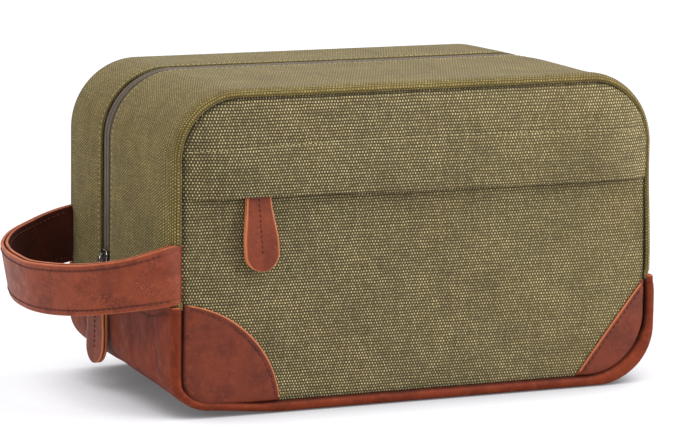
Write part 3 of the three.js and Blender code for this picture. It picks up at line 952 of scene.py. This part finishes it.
pocket_top = box_mm("front_pocket_panel")[1][2]
seam_low, seam_high = SEAM_LOW - TUCKED, SEAM_HIGH + TUCKED
pocket_rows = panel_rows(seam_low, pocket_top, FRONT_SEAM)
pocket = panel("front_pocket_canvas", pocket_rows, FRONT_SEAM, pocket_face, -1)
settle(pocket, BODY, "front_pocket_panel", slot="canvas", flat=(0.268, 0.122))


def placket_shift(x, z):
    return (placket_edge(x) - FLAP_EDGE) * (1 - ease((z - FLAP_EDGE) / 25))


fold_rows = FLAP_EDGE + np.array([0.06, 0.2, 0.45, 0.8, 1.3, 1.9])
stitch_rows = np.arange(131, 140, 0.7)
placket_rows = np.concatenate([panel_rows(FLAP_EDGE, seam_high, FRONT_SEAM), fold_rows, stitch_rows])
placket_rows = np.unique(placket_rows)
placket = panel(
    "front_placket_canvas",
    placket_rows,
    FRONT_SEAM,
    placket_face,
    -1,
    PLACKET_CLOTH,
    placket_shift,
    FLAP_ROUND,
)
settle(placket, BODY, "front_placket", slot="canvas", flat=(0.268, 0.06))

across = np.linspace(-HALF_LENGTH + 7, HALF_LENGTH - 7, 400)
line = points_of(across, placket_face(across, stitch_row(across)) + 0.05, stitch_row(across))
toward = points_of(0 * across, -1.0, 0.0)
placket_thread = stitches("stitches_placket", line, toward, thread_olive, 3.0, 2.1, 0.27, lean=0.15)
settle(placket_thread, BODY, slot="canvas")

back = panel("back_canvas", panel_rows(seam_low, seam_high, BACK_SEAM), BACK_SEAM, back_face, 1)
settle(back, BACK, "back_panel_upper", "back_panel_lower", slot="canvas", flat=(0.268, 0.164))


# ---- Leather corner patches ----

PATCH = 1.25
PATCH_STITCH = 2.4  # from the cut edge to its stitching


def seam_corner(side, up, along, seam):
    """The seam round a lower corner, from a height up the end to a place along under it."""
    w, r = SEAM_HALF + 0.5, seam[2] if side < 0 else seam[3]
    rise_up, run = up - SEAM_LOW - r, w - r - along
    arc = r * math.pi / 2
    s = np.linspace(0, 1, 60) * (rise_up + arc + run)
    angle = np.clip((s - rise_up) / arc, 0, 1) * math.pi / 2
    x = w - r * (1 - np.cos(angle)) - np.maximum(s - rise_up - arc, 0)
    z = SEAM_LOW + r * (1 - np.sin(angle)) + np.maximum(rise_up - s, 0)
    return side * x, z


def round_cut(side):
    """A quarter circle, centred near the corner."""
    angle = np.linspace(math.radians(97), math.pi - 0.1, 60)
    return side * (HALF_LENGTH + 2 + PATCH_RADIUS * np.cos(angle)), -2.0 + PATCH_RADIUS * np.sin(angle)


def near_straight_cut(side):
    """A cut that runs almost straight across the corner."""
    t = np.linspace(0, 1, 60)
    sag = 1.5 * np.sin(t * math.pi)
    return side * (130.0 - 40.0 * t - sag * 0.78), 56.0 - 51.0 * t + sag * 0.62


def corner_patch(where, side, front, cut, face, seam):
    """A patch on a panel, with its stitches: the cut edge is raised and paler, the others run into seams."""
    cut_x, cut_z = cut(side)
    seam_x, seam_z = seam_corner(side, cut_z[0], abs(cut_x[-1]), seam)
    near_seam = [0.94, 0.97, 0.988, 0.996, 1.0]
    q = np.concatenate([np.linspace(0, 0.12, 4)[:-1], np.linspace(0.12, 0.9, 18), near_seam])
    x = seam_x[:, None] * (1 - q) + cut_x[:, None] * q
    z = np.maximum(seam_z[:, None] * (1 - q) + cut_z[:, None] * q, SEAM_INSET + 0.05)
    from_cut = np.hypot(x - cut_x[:, None], z - cut_z[:, None])
    d = np.maximum(seam_distance(x, z, seam), 0)
    lift = PATCH * ease(d / 1.6) - 0.9 * rounded(from_cut, 0.5) - 0.22 * bell(from_cut, PATCH_STITCH, 0.6)
    y = face(x, z)
    outer = points_of(x + PANEL_SHIFT, y + front * (0.08 + lift), z)
    inner = points_of(x + PANEL_SHIFT, y + front * 0.06, z)
    # Pale worn cut edge, and painted shade in the stitching's groove.
    edge_band = 0.75 * (1 - ease((from_cut - 0.35) / 0.6)) - 0.8 * bell(from_cut, PATCH_STITCH, 0.45)
    # Painted shade in the seam beside the roll.
    edge_band = np.where(d < 3, -bell(d, 0, 1.3), edge_band)
    patch = slab(f"patch_{where}", outer, inner, flat_uv(x, z), [leather_patch, leather_edge], edge_band)
    settle(patch, BODY, f"corner_patch_{where}", slot="leather")

    line = np.stack([cut_x, cut_z], -1)
    tangent = unit(np.gradient(line, axis=0))
    inward = np.stack([tangent[:, 1], -tangent[:, 0]], -1) * side
    middle = np.array([side * (HALF_LENGTH - 20), 22.0])
    inward = inward * np.sign(np.sum(inward * (middle - line), -1, keepdims=True))
    line = line + inward * PATCH_STITCH
    x, z = line[seam_distance(line[:, 0], line[:, 1], seam) > 2.5].T
    points = points_of(x + PANEL_SHIFT, face(x, z) + front * (0.08 + PATCH - 0.2), z)
    outward = points_of(0 * x, float(front), 0.0)
    row = stitches(f"stitches_patch_{where}", points, outward, thread_brown, 3.2, 2.2, 0.33)
    settle(row, BODY, slot="leather")


corner_patch("front_left", -1, -1, round_cut, pocket_face, FRONT_SEAM)
corner_patch("front_right", 1, -1, near_straight_cut, pocket_face, FRONT_SEAM)
corner_patch("back_left", -1, 1, round_cut, back_face, BACK_SEAM)
corner_patch("back_right", 1, 1, round_cut, back_face, BACK_SEAM)


# ---- The main zip: a reverse coil, so two ribbed ridges of tape meet in the middle ----

COIL_HALF = 1.3
COIL_INSET = 0.15
RIB_PITCH = 1.25


def zip_coil(name, side):
    """One side's ribbed ridge, with painted shade that is darkest along the middle of the zip."""
    s = path_steps(OVER_LENGTH, 0.32, 1.5, -1.5)
    a = np.linspace(0, math.pi, 9)
    y = ZIP_Y + side * (0.16 + COIL_HALF * (1 - np.cos(a)) * 0.98)
    rib = 0.1 * np.cos(2 * math.pi * s / RIB_PITCH) * np.sin(a)[None] ** 0.5
    top = COIL_INSET + 1.1 * (1 - np.sin(a)[None] ** 0.7) - rib + tuck(over_top, s, y[None]) * 0.5
    # Painted shade, darkest in the gap between the two ridges.
    shade = bell(y, ZIP_Y, 0.55)[None] + 0 * s
    return along_strip(name, over_top, s, y, top, COIL_INSET + 1.9, coil_plastic, shade)


def zip_tape(name, side):
    """The flat tape between the ridge and the canvas, running on under the canvas."""
    s = path_steps(OVER_LENGTH, 2.2, -1.0, 1.0)
    y = ZIP_Y + side * np.array([2.75, 3.0, 3.6, 4.4, 5.2, 6.0, 6.8, 8.0, 10.0, 12.5])
    inset = np.array([1.35, 1.2, 1.15, 1.3, 1.5, 1.65, 1.75, 1.8, 1.8, 1.8])[None]
    inset = inset + tuck(over_top, s, y[None]) * 0.7
    return along_strip(name, over_top, s, y, inset, inset + 0.6, tape_cloth)


back_coil_nodes = "main_zip_teeth_back", "main_zip_foot_back_left", "main_zip_foot_back_right"
settle(zip_coil("zip_coil_front", -1), BODY, "main_zip_teeth_front", slot="zip_teeth")
settle(zip_coil("zip_coil_back", 1), BACK, *back_coil_nodes, slot="zip_teeth")
settle(zip_tape("zip_tape_front", -1), BODY, "main_zip_tape_front", slot="zip_tape")
settle(zip_tape("zip_tape_back", 1), BACK, "main_zip_tape_back", slot="zip_tape")


# ---- Sliders, pull rings and leather pulls ----


def placed(origin, a, b, c):
    """Turns local (a, b, c) points to the frame's."""
    axes = np.array([a, b, c], float)
    start = np.array(origin, float)
    return lambda p: start + np.asarray(p, float) @ axes


def inset_shape(outline, by):
    """The outline moved inwards along its own normals."""
    x, y = outline.T
    area = np.sum(x * np.roll(y, -1) - y * np.roll(x, -1))
    tangent = np.roll(outline, -1, 0) - np.roll(outline, 1, 0)
    normal = unit(np.stack([-tangent[:, 1], tangent[:, 0]], -1)) * np.sign(area)
    return outline + normal * by


def rounded_plate(name, outline, low, high, round_by, place):
    """A flat piece of metal with rounded edges: its outline in local a and b, from low to high in local c."""
    angle = np.radians([0, 22, 45, 68, 90])
    levels = [(round_by * (1 - math.sin(t)), low + round_by * (1 - math.cos(t))) for t in angle]
    levels += [(inset, low + high - c) for inset, c in levels[::-1]]
    rings = [np.column_stack([inset_shape(outline, inset), np.full(len(outline), c)]) for inset, c in levels]
    verts = np.concatenate(rings)
    index = np.arange(len(verts)).reshape(len(levels), -1)
    return make_object(name, place(verts), ring_faces(index), [nickel], verts[:, :2])


WIRE_SIDES = 12


def wire(name, centre, radius, up, closed=False, flat=1.0):
    """A metal wire along a line of points, flat times as thick as it is wide."""
    if closed:
        tangent = unit(np.roll(centre, -1, 0) - np.roll(centre, 1, 0))
    else:
        tangent = unit(np.gradient(centre, axis=0))
    side = unit(np.cross(tangent, np.asarray(up, float)))
    out = unit(np.cross(side, tangent))
    angle = np.linspace(0, 2 * math.pi, WIRE_SIDES, endpoint=False)
    section = np.column_stack([radius * np.cos(angle), flat * radius * np.sin(angle)])
    verts = centre[:, None] + side[:, None] * section[None, :, :1] + out[:, None] * section[None, :, 1:]
    faces = ring_faces(np.arange(len(centre) * WIRE_SIDES).reshape(-1, WIRE_SIDES), closed)
    uv = flat_uv(lengths_along(centre)[:, None], lengths_along(section)[None, :]).reshape(-1, 2)
    return make_object(name, verts.reshape(-1, 3), faces, [nickel], uv)


def rounded_loop(half_a, half_b, r, count=9):
    """A rectangle's outline with round corners."""
    points = []
    for quarter in range(4):
        corner_a = (half_a - r) * (1, -1, -1, 1)[quarter]
        corner_b = (half_b - r) * (1, 1, -1, -1)[quarter]
        for t in np.linspace(0, math.pi / 2, count):
            angle = quarter * math.pi / 2 + t
            points.append((corner_a + r * math.cos(angle), corner_b + r * math.sin(angle)))
    return np.array(points)


def slider_shape():
    """The plate of a zip slider: two shoulders at the mouth, narrowing to a blunt tail."""
    t = np.linspace(0, 1, 13)
    half = 3.1 + 1.4 * ease((t - 0.35) / 0.45) - 1.6 * ease((t - 0.86) / 0.14) - 1.0 * ease((0.12 - t) / 0.12)
    a = -6.4 + 12.8 * t
    return np.column_stack([np.concatenate([a, a[::-1]]), np.concatenate([-half, half[::-1]])])


def slider_pieces(name, origin, along, across, out, top):
    """Two plates, their post and the bridge that the ring hangs on. top is the outer plate's outer face."""
    place = placed(origin, along, across, out)
    post_shape = rounded_loop(1.0, 0.14, 0.13, 4) + np.array([4.2, 0.0])
    t = np.linspace(0, math.pi, 19)
    arch = place(np.column_stack([-4.3 * np.cos(t), 0 * t, top - 0.5 + 2.9 * np.sin(t) ** 0.55]))
    plate = rounded_plate(f"{name}_plate", slider_shape(), top - 1.1, top, 0.42, place)
    settle(plate, name, name, slot="dark_metal")
    for piece in (
        rounded_plate(f"{name}_underplate", slider_shape(), top - 4.6, top - 3.6, 0.42, place),
        rounded_plate(f"{name}_post", post_shape, top - 3.7, top - 1.0, 0.05, place),
        wire(f"{name}_bridge", arch, 0.6, across, flat=1.9),
    ):
        settle(piece, name, slot="dark_metal")


RING_DROP = 8.9  # from the slider's bridge to the bar that the pull hangs on
RING_HALF = 4.35
OFF_AXIS = (0.31, 0.87, 0.23)  # a direction that no ring lies along


def pull_ring(name, body, origin, across, out):
    """The pull's ring: a rounded loop of wire from the bridge, at 0, down to the pull."""
    loop = rounded_loop(RING_DROP / 2, RING_HALF, 2.4)
    loop = np.column_stack([loop[:, 0] - RING_DROP / 2, loop[:, 1], 0 * loop[:, 0]])
    ring = wire(f"{name}_wire", placed(origin, UP, across, out)(loop), 0.65, OFF_AXIS, closed=True)
    settle(ring, body, name, slot="dark_metal")


def ply(
    name,
    centre,
    across,
    out,
    half,
    low,
    high,
    materials,
    columns=17,
    swell=0.0,
    edge_band=0.7,
    pale=0.7,
    groove=0,
    move=None,
):
    """A strip of leather along a line, half wide to each side of it, from low to high outwards."""
    c = np.sin(np.linspace(-math.pi / 2, math.pi / 2, columns))
    offset = c[None] * half[:, None]
    edge = half[:, None] - np.abs(offset)
    fall = rounded(edge, 0.5)
    dip = 0.2 * bell(edge, groove, 0.6) if groove else 0.0
    top = high - fall - dip + swell * (1 - c[None] ** 2)
    bottom = low + fall * 0.5 + 0 * offset
    base = centre[:, None] + across[:, None] * offset[..., None]
    outer = base + out[:, None] * top[..., None]
    inner = base + out[:, None] * bottom[..., None]
    if move is not None:
        outer, inner = move(outer), move(inner)
    shade = pale * (1 - ease((edge - 0.35 * edge_band) / edge_band))
    if groove:
        # Painted shade in the stitching's groove; the pale edges above are wear.
        shade = shade - 0.85 * bell(edge, groove, 0.45)
    return slab(name, outer, inner, flat_uv(lengths_along(centre)[:, None], offset), materials, shade)


PULL_PLY = 1.3
PULL_END = 9.2  # radius of the pull's round end
FOLD_GAP = 1.25  # half the gap between the plies at the fold, and below it
LOW_GAP = 0.92


def pull_half_width(below, length):
    """Half the pull's width at a distance below its fold: neck, shoulder, wide blade and round end."""
    blade = 3.2 + 3.4 * ease((below - 1.0) / 5.5) + 2.7 * ease((below - 6) / 26)
    cap = np.maximum(PULL_END - (length - below), 0)
    return np.minimum(blade, np.sqrt(np.maximum(PULL_END**2 - cap**2, 0.0004)))


def leather_pull(name, body, bar, down, across, out, curve, length):
    """A strip folded over the ring's bar, so that two plies hang down from it."""
    place = placed(bar, down, across, out)
    fold = np.linspace(-math.pi / 2, math.pi / 2, 11)
    tip = length - 1.2 - 8.0 * np.cos(np.linspace(0.05, math.pi / 2, 12))
    below = np.concatenate([np.linspace(0.6, 6, 8), np.linspace(7.5, length - 9, 17), tip])
    below = below[below < length - 1.25]
    below = np.unique(np.concatenate([below, length - np.array([3.5, 2.9, 2.4, 2.0, 1.7, 1.45, 1.3])]))
    gap = FOLD_GAP + (LOW_GAP - FOLD_GAP) * ease((below - 0.6) / 7)
    a = np.concatenate([below[::-1], -FOLD_GAP * np.cos(fold), below])
    c = np.concatenate([gap[::-1], -FOLD_GAP * np.sin(fold), -gap])
    half = pull_half_width(np.concatenate([below[::-1] + 1.2, 0 * fold, below + 1.2]), length)
    tangent = unit(np.gradient(np.column_stack([a, 0 * a, c]), axis=0))
    normal = np.column_stack([-tangent[:, 2], 0 * a, tangent[:, 0]])
    outwards = np.column_stack([0 * a - 0.001, 0 * a, np.sign(c)])
    normal = normal * np.sign(np.sum(normal * outwards, -1, keepdims=True) + 1e-12)
    normal[len(below) : len(below) + len(fold)] = np.column_stack([-np.cos(fold), 0 * fold, -np.sin(fold)])
    strip = ply(
        f"{name}_leather",
        place(np.column_stack([a, 0 * a, c + curve(np.maximum(a, 0))])),
        np.tile(np.array(across, float), (len(a), 1)),
        normal @ np.array([down, across, out], float),
        half,
        -PULL_PLY / 2,
        PULL_PLY / 2,
        [leather_pulls, leather_edge],
        edge_band=0.8,
    )
    settle(strip, body, f"{name}_tab", slot="leather")
    s = np.linspace(5.0, length - 9, 60)
    for face, where in ((1, "outer"), (-1, "inner")):
        row = place(np.column_stack([s, 0 * s, face * (LOW_GAP + PULL_PLY / 2) + curve(s)]))
        outward = np.tile(np.array(out, float) * face, (len(s), 1))
        thread = stitches(f"{name}_stitches_{where}", row, outward, thread_brown, 2.6, 1.9, 0.3)
        settle(thread, body, slot="leather")


def middle_mm(node):
    low, high = box_mm(node)
    return (low + high) / 2


MAIN_TURN = math.radians(6)  # the main pull hangs turned a little to the front
POCKET_TILT = math.radians(3.5)  # the pocket's pull hangs a little to the right


def main_curve(below):
    return 2.2 * ease(below / 24) + 0.9 * ease((below - 24) / 24)


def pocket_curve(below):
    return 1.4 * ease((below - 5) / 28)


slider_z = middle_mm("main_slider")[2]
slider_pieces("main_slider", (-HALF_LENGTH, ZIP_Y, slider_z), UP, ACROSS, LEFT, 1.3)
main_bridge = np.array([-136.95, ZIP_Y, slider_z])
pull_ring("main_pull_ring", "main_ring", main_bridge, ACROSS, LEFT)
main_out = (-math.cos(MAIN_TURN), -math.sin(MAIN_TURN), 0.0)
main_across = (-math.sin(MAIN_TURN), math.cos(MAIN_TURN), 0.0)
main_bar = main_bridge - (0, 0, RING_DROP)
leather_pull("main_pull", "main_tab", main_bar, DOWN, main_across, main_out, main_curve, 44.8)

pocket_x, _, pocket_z = middle_mm("pocket_slider")
slider_pieces("pocket_slider", (pocket_x, -72.2, pocket_z), LEFT, UP, FRONT, 1.1)
pocket_bridge = np.array([pocket_x, -75.2, pocket_z])
pull_ring("pocket_pull_ring", "pocket_slider", pocket_bridge, RIGHT, FRONT)
tilted_down = (math.sin(POCKET_TILT), 0.0, -math.cos(POCKET_TILT))
tilted_right = (math.cos(POCKET_TILT), 0.0, math.sin(POCKET_TILT))
pocket_bar = pocket_bridge - (0, 0, RING_DROP)
leather_pull("pocket_pull", "pocket_slider", pocket_bar, tilted_down, tilted_right, FRONT, pocket_curve, 43.5)


# ---- Carry loop: two plies, sewn into the front and back seams at the left end ----

STRAP_STITCH = 2.8  # from the strap's edge to its stitching


def strap_frame(left_out=0):
    """Points along the middle of the loop before it droops, and the outward directions."""
    angle = np.linspace(-math.pi / 2, math.pi / 2, 121)
    root_x = np.array([-129.6, -130.8, -132.6])
    root_y = np.array([69.2, 69.5, 69.7])
    x = np.concatenate([root_x, -135.1 - HANDLE_REACH * np.cos(angle), root_x[::-1]])
    y = np.concatenate([-root_y, HANDLE_SPAN * np.sin(angle), root_y[::-1]])
    centre = points_of(x, y, HANDLE_Z)[left_out : len(x) - left_out]
    tangent = unit(np.gradient(centre, axis=0))
    out = tangent[:, [1, 0, 2]] * (1, -1, 0)
    from_middle = (centre + (120, 0, 0)) * (1, 1, 0)
    return centre, out * np.sign(np.sum(out * from_middle, -1, keepdims=True))


def handle_half(x):
    """Half the strap's width, a little more where it is sewn in."""
    return HANDLE_WIDTH / 2 * (1.03 - 0.115 * ease((HANDLE_ROOT - x) / 32))


def strap_wave(points):
    """How far the leather waves in and out, away from its roots."""
    return 0.7 * smooth_noise(points * (1, 1, 0.35), 17, 63) * ease((-140 - points[..., 0]) / 20)


def drooped(points):
    """Lowers the loop, turned about the seam that it comes out of."""
    x, y, z = np.moveaxis(points, -1, 0)
    share = ease((HANDLE_ROOT + 1.5 - x) / 4.0)
    angle = -share * (DROOP - BACK_DROOP * ease((y + 40) / 80))
    dx, dz = x - HANDLE_ROOT, z - HANDLE_Z
    turned_x = HANDLE_ROOT + dx * np.cos(angle) + dz * np.sin(angle)
    return points_of(turned_x, y, HANDLE_Z - dx * np.sin(angle) + dz * np.cos(angle))


def strap_ply(name, low, high, material):
    centre, out = strap_frame()
    x = centre[:, 0]
    squeeze = 0.45 + 0.55 * ease((-130.6 - x) / 3.0)  # thinner where it is sewn in

    def settled(points):
        depth = np.sum((points - centre[:, None]) * out[:, None], -1)
        by = depth * (squeeze[:, None] - 1) + strap_wave(points)
        return drooped(points + out[:, None] * by[..., None])

    half = handle_half(x) + 0.3 * smooth_noise(centre, 26, 61)
    across = np.tile(UP, (len(x), 1))
    looks = {"columns": 29, "swell": 0.1, "pale": 0.45, "groove": STRAP_STITCH, "move": settled}
    return ply(name, centre, across, out, half, low, high, [material, leather_edge], **looks)


outer_nodes = "handle_outer_leather", "handle_end_front", "handle_end_back", "handle_core"
settle(strap_ply("carry_loop_outer", 0.35, 2.1, leather_strap), LOOP, *outer_nodes, slot="leather")
inner_ply = strap_ply("carry_loop_inner", -2.1, -0.25, leather_flesh)
settle(inner_ply, LOOP, "handle_inner_leather", slot="dark_leather")

for face, flip in (("outer", 1), ("inner", -1)):
    for edge, upward in (("top", 1), ("bottom", -1)):
        centre, out = strap_frame(5)
        offset = upward * (handle_half(centre[:, 0]) - STRAP_STITCH)
        line = centre + out * 2.0 * flip + points_of(0.0, 0.0, offset)
        line = drooped(line + out * strap_wave(line)[:, None])
        row = stitches(f"stitches_loop_{face}_{edge}", line, out * flip, thread_brown, 3.0, 2.2, 0.34)
        settle(row, LOOP, slot="leather")


# ---- Inside: linings and the bindings on the seams ----

LINING_INSET = 5.7
LINING = 0.7
LINING_EDGE = 61.5
LINING_TOP = 89.0  # where the tub's lining ends and the gusset's begins
TUB_RISE = 36.5  # how far the tub's lining stands above the leather


def lining_strip(name, path, s, low, high, count, body, node, flat):
    y = np.linspace(low, high, count)
    soft = LINING_INSET + 0.35 * smooth_noise(points_of(s, y[None], 7.0), 19, 71)
    strip = along_strip(f"lining_{name}", path, s, y, soft, soft + LINING, lining_cloth)
    settle(strip, body, *node, slot="lining", flat=flat)


lining_start = LINING_TOP - LEATHER_TOP
s_top = np.linspace(lining_start, OVER_LENGTH - lining_start, 160)[:, None]
s_tub = np.linspace(-TUB_RISE, UNDER_LENGTH + TUB_RISE, 180)[:, None]
front_node, back_node, tub_node = ["gusset_lining_front"], ["gusset_lining_back"], ["lining_tub"]
lining_strip("gusset_front", over_top, s_top, -LINING_EDGE, 11.5, 30, BODY, front_node, (0.073, 0.42))
lining_strip("gusset_back", over_top, s_top, 28.5, LINING_EDGE, 16, BACK, back_node, (0.033, 0.42))
lining_strip("tub_front", under, s_tub, -LINING_EDGE, ZIP_Y - 0.2, 34, BODY, tub_node, (0.081, 0.41))
lining_strip("tub_back", under, s_tub, ZIP_Y + 0.2, LINING_EDGE, 18, BACK, [], (0.041, 0.41))


def lining_wall(name, y_mid, sag, side):
    """A front or back lining, hanging a little loose."""
    x, z = panel_grid(np.linspace(9, HEIGHT - 9, 52), BACK_SEAM, 70)
    x = x * 0.962
    loose = sag * rise(np.maximum(seam_distance(x, z, BACK_SEAM), 0) / 50)
    y = y_mid + side * (loose + 0.7 * rumple(points_of(x, y_mid, z), (40, 18), 77))
    return slab(name, points_of(x, y, z), points_of(x, y + LINING, z), flat_uv(x, z), [lining_cloth])


front_wall = lining_wall("lining_front", -54.6, 1.0, 1)
settle(front_wall, BODY, "front_lining", slot="lining", flat=(0.25, 0.146), held="hung")
back_wall = lining_wall("lining_back", 66.2, 1.5, -1)
back_linings = "back_lining_upper", "back_lining_lower"
settle(back_wall, BACK, *back_linings, slot="lining", flat=(0.25, 0.146), held="hung")


def binding(name, low, high):
    """A folded tape over a seam's raw edges."""
    s = np.linspace(0, OVER_LENGTH, 180)[:, None]
    y = np.linspace(low, high, 9)
    fold = rounded(np.minimum(y - low, high - y), 1.2)[None]
    return along_strip(name, over_top, s, y, 6.6 + 0.8 * fold, 8.4 - 0.6 * fold, binding_cloth)


settle(binding("binding_front", -52.5, -44.5), BODY, "seam_binding_front", slot="binding")
back_bindings = "seam_binding_back_upper", "seam_binding_back_lower"
settle(binding("binding_back", 57.0, 61.3), BACK, *back_bindings, slot="binding")


# ---- Hidden CAD parts that stay as they are get their own materials ----

FINISHES = {
    "board": board,
    "tape": tape_cloth,
    "teeth": coil_plastic,
    "stop": nickel,
    "wall": lining_cloth,
    "binding": binding_cloth,
}
for name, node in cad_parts.items():
    if node.hide_render:
        continue
    chosen = next((finish for word, finish in FINISHES.items() if word in name), padding)
    for holder in node.material_slots:
        holder.material = chosen
    if not node.material_slots:
        node.data.materials.append(chosen)


# ---- Floor, light and camera, in metres ----

FLOOR_HALF = 3.0
PAINTED_SHADOW_REACH = 0.072  # how far from the bag the floor's glow is turned down, a painted shadow
PAINTED_SHADOW_TILT = Vector((0.75, -0.3, 0.6))  # painted shadow: the floor's glow is dimmed where the bag stands between it and this side


def floor():
    """A white sweep that glows a little, less where the bag stands close to it: a painted shadow."""
    mesh = bpy.data.meshes.new("floor")
    h = FLOOR_HALF
    mesh.from_pydata([(-h, -h, 0), (h, -h, 0), (h, h, 0), (-h, h, 0)], [], [(0, 1, 2, 3)])
    g = Graph("white_sweep_painted_shadow")
    g.finish((0.2, 0.2, 0.2, 1), 0.9, specular=0.05)
    g.shader.inputs["Emission Color"].default_value = (0.975, 0.962, 1.0, 1)
    # The Ambient Occlusion node dims the glow close to the bag: a painted contact shadow.
    inputs = {"Distance": PAINTED_SHADOW_REACH, "Normal": PAINTED_SHADOW_TILT.normalized()}
    near = g.add("AmbientOcclusion", inputs, samples=8)
    g.put(g.shader.inputs["Emission Strength"], g.band(near.outputs["AO"], 0.22, 0.8, 0.1, 0.78))
    mesh.materials.append(g.material)
    obj = bpy.data.objects.new("floor", mesh)
    bpy.context.collection.objects.link(obj)
    obj.location.z = -0.0008


def add_light(name, kind, energy, turn, place=(0, 0, 0)):
    data = bpy.data.lights.new(name, kind)
    data.energy = energy
    obj = bpy.data.objects.new(name, data)
    obj.location = place
    obj.rotation_euler = turn.to_euler()
    bpy.context.collection.objects.link(obj)
    return data


def area_light(name, place, target, size, power):
    turn = (Vector(target) - Vector(place)).to_track_quat("-Z", "Y")
    data = add_light(name, "AREA", power, turn, place)
    data.shape = "RECTANGLE"
    data.size, data.size_y = size


floor()
world = bpy.data.worlds.new("studio")
bpy.context.scene.world = world
world.use_nodes = True
world.node_tree.nodes["Background"].inputs["Color"].default_value = (1.0, 1.0, 1.0, 1)
world.node_tree.nodes["Background"].inputs["Strength"].default_value = 1.0
sun = add_light("overhead", "SUN", 2.6, Vector((0.45, -0.12, 0.9)).to_track_quat("Z", "Y"))
sun.angle = math.radians(50)
area_light("key", (0.95, -0.75, 0.45), (0.1, -0.07, 0.08), (0.5, 0.6), 11.5)
area_light("left_fill", (-1.3, -0.25, 0.55), (-0.13, 0, 0.08), (0.6, 0.6), 6.2)
bpy.context.scene.view_settings.view_transform = "Standard"

TARGET = Vector((0, 0, 0.075))
AZIMUTH, ELEVATION, ROLL_ANGLE = math.radians(-25.0), math.radians(9.37), math.radians(0.748)
DISTANCE = 2.037
LENS = 206.04
SHIFT_X, SHIFT_Y = -0.0292, 0.0256


def camera():
    level = math.cos(ELEVATION)
    away = Vector((math.sin(AZIMUTH) * level, -math.cos(AZIMUTH) * level, math.sin(ELEVATION)))
    right = (-away).cross(Vector((0, 0, 1))).normalized()
    up = right.cross(-away)
    turned_right = right * math.cos(ROLL_ANGLE) + up * math.sin(ROLL_ANGLE)
    turned_up = up * math.cos(ROLL_ANGLE) - right * math.sin(ROLL_ANGLE)
    data = bpy.data.cameras.new("camera")
    data.sensor_width = 36
    data.lens = LENS
    data.shift_x, data.shift_y = SHIFT_X, SHIFT_Y
    data.clip_start, data.clip_end = 0.05, 20
    obj = bpy.data.objects.new("camera", data)
    axes = Matrix((turned_right, turned_up, away)).transposed().to_4x4()
    obj.matrix_world = Matrix.Translation(TARGET + away * DISTANCE) @ axes
    bpy.context.collection.objects.link(obj)
    bpy.context.scene.camera = obj


camera()
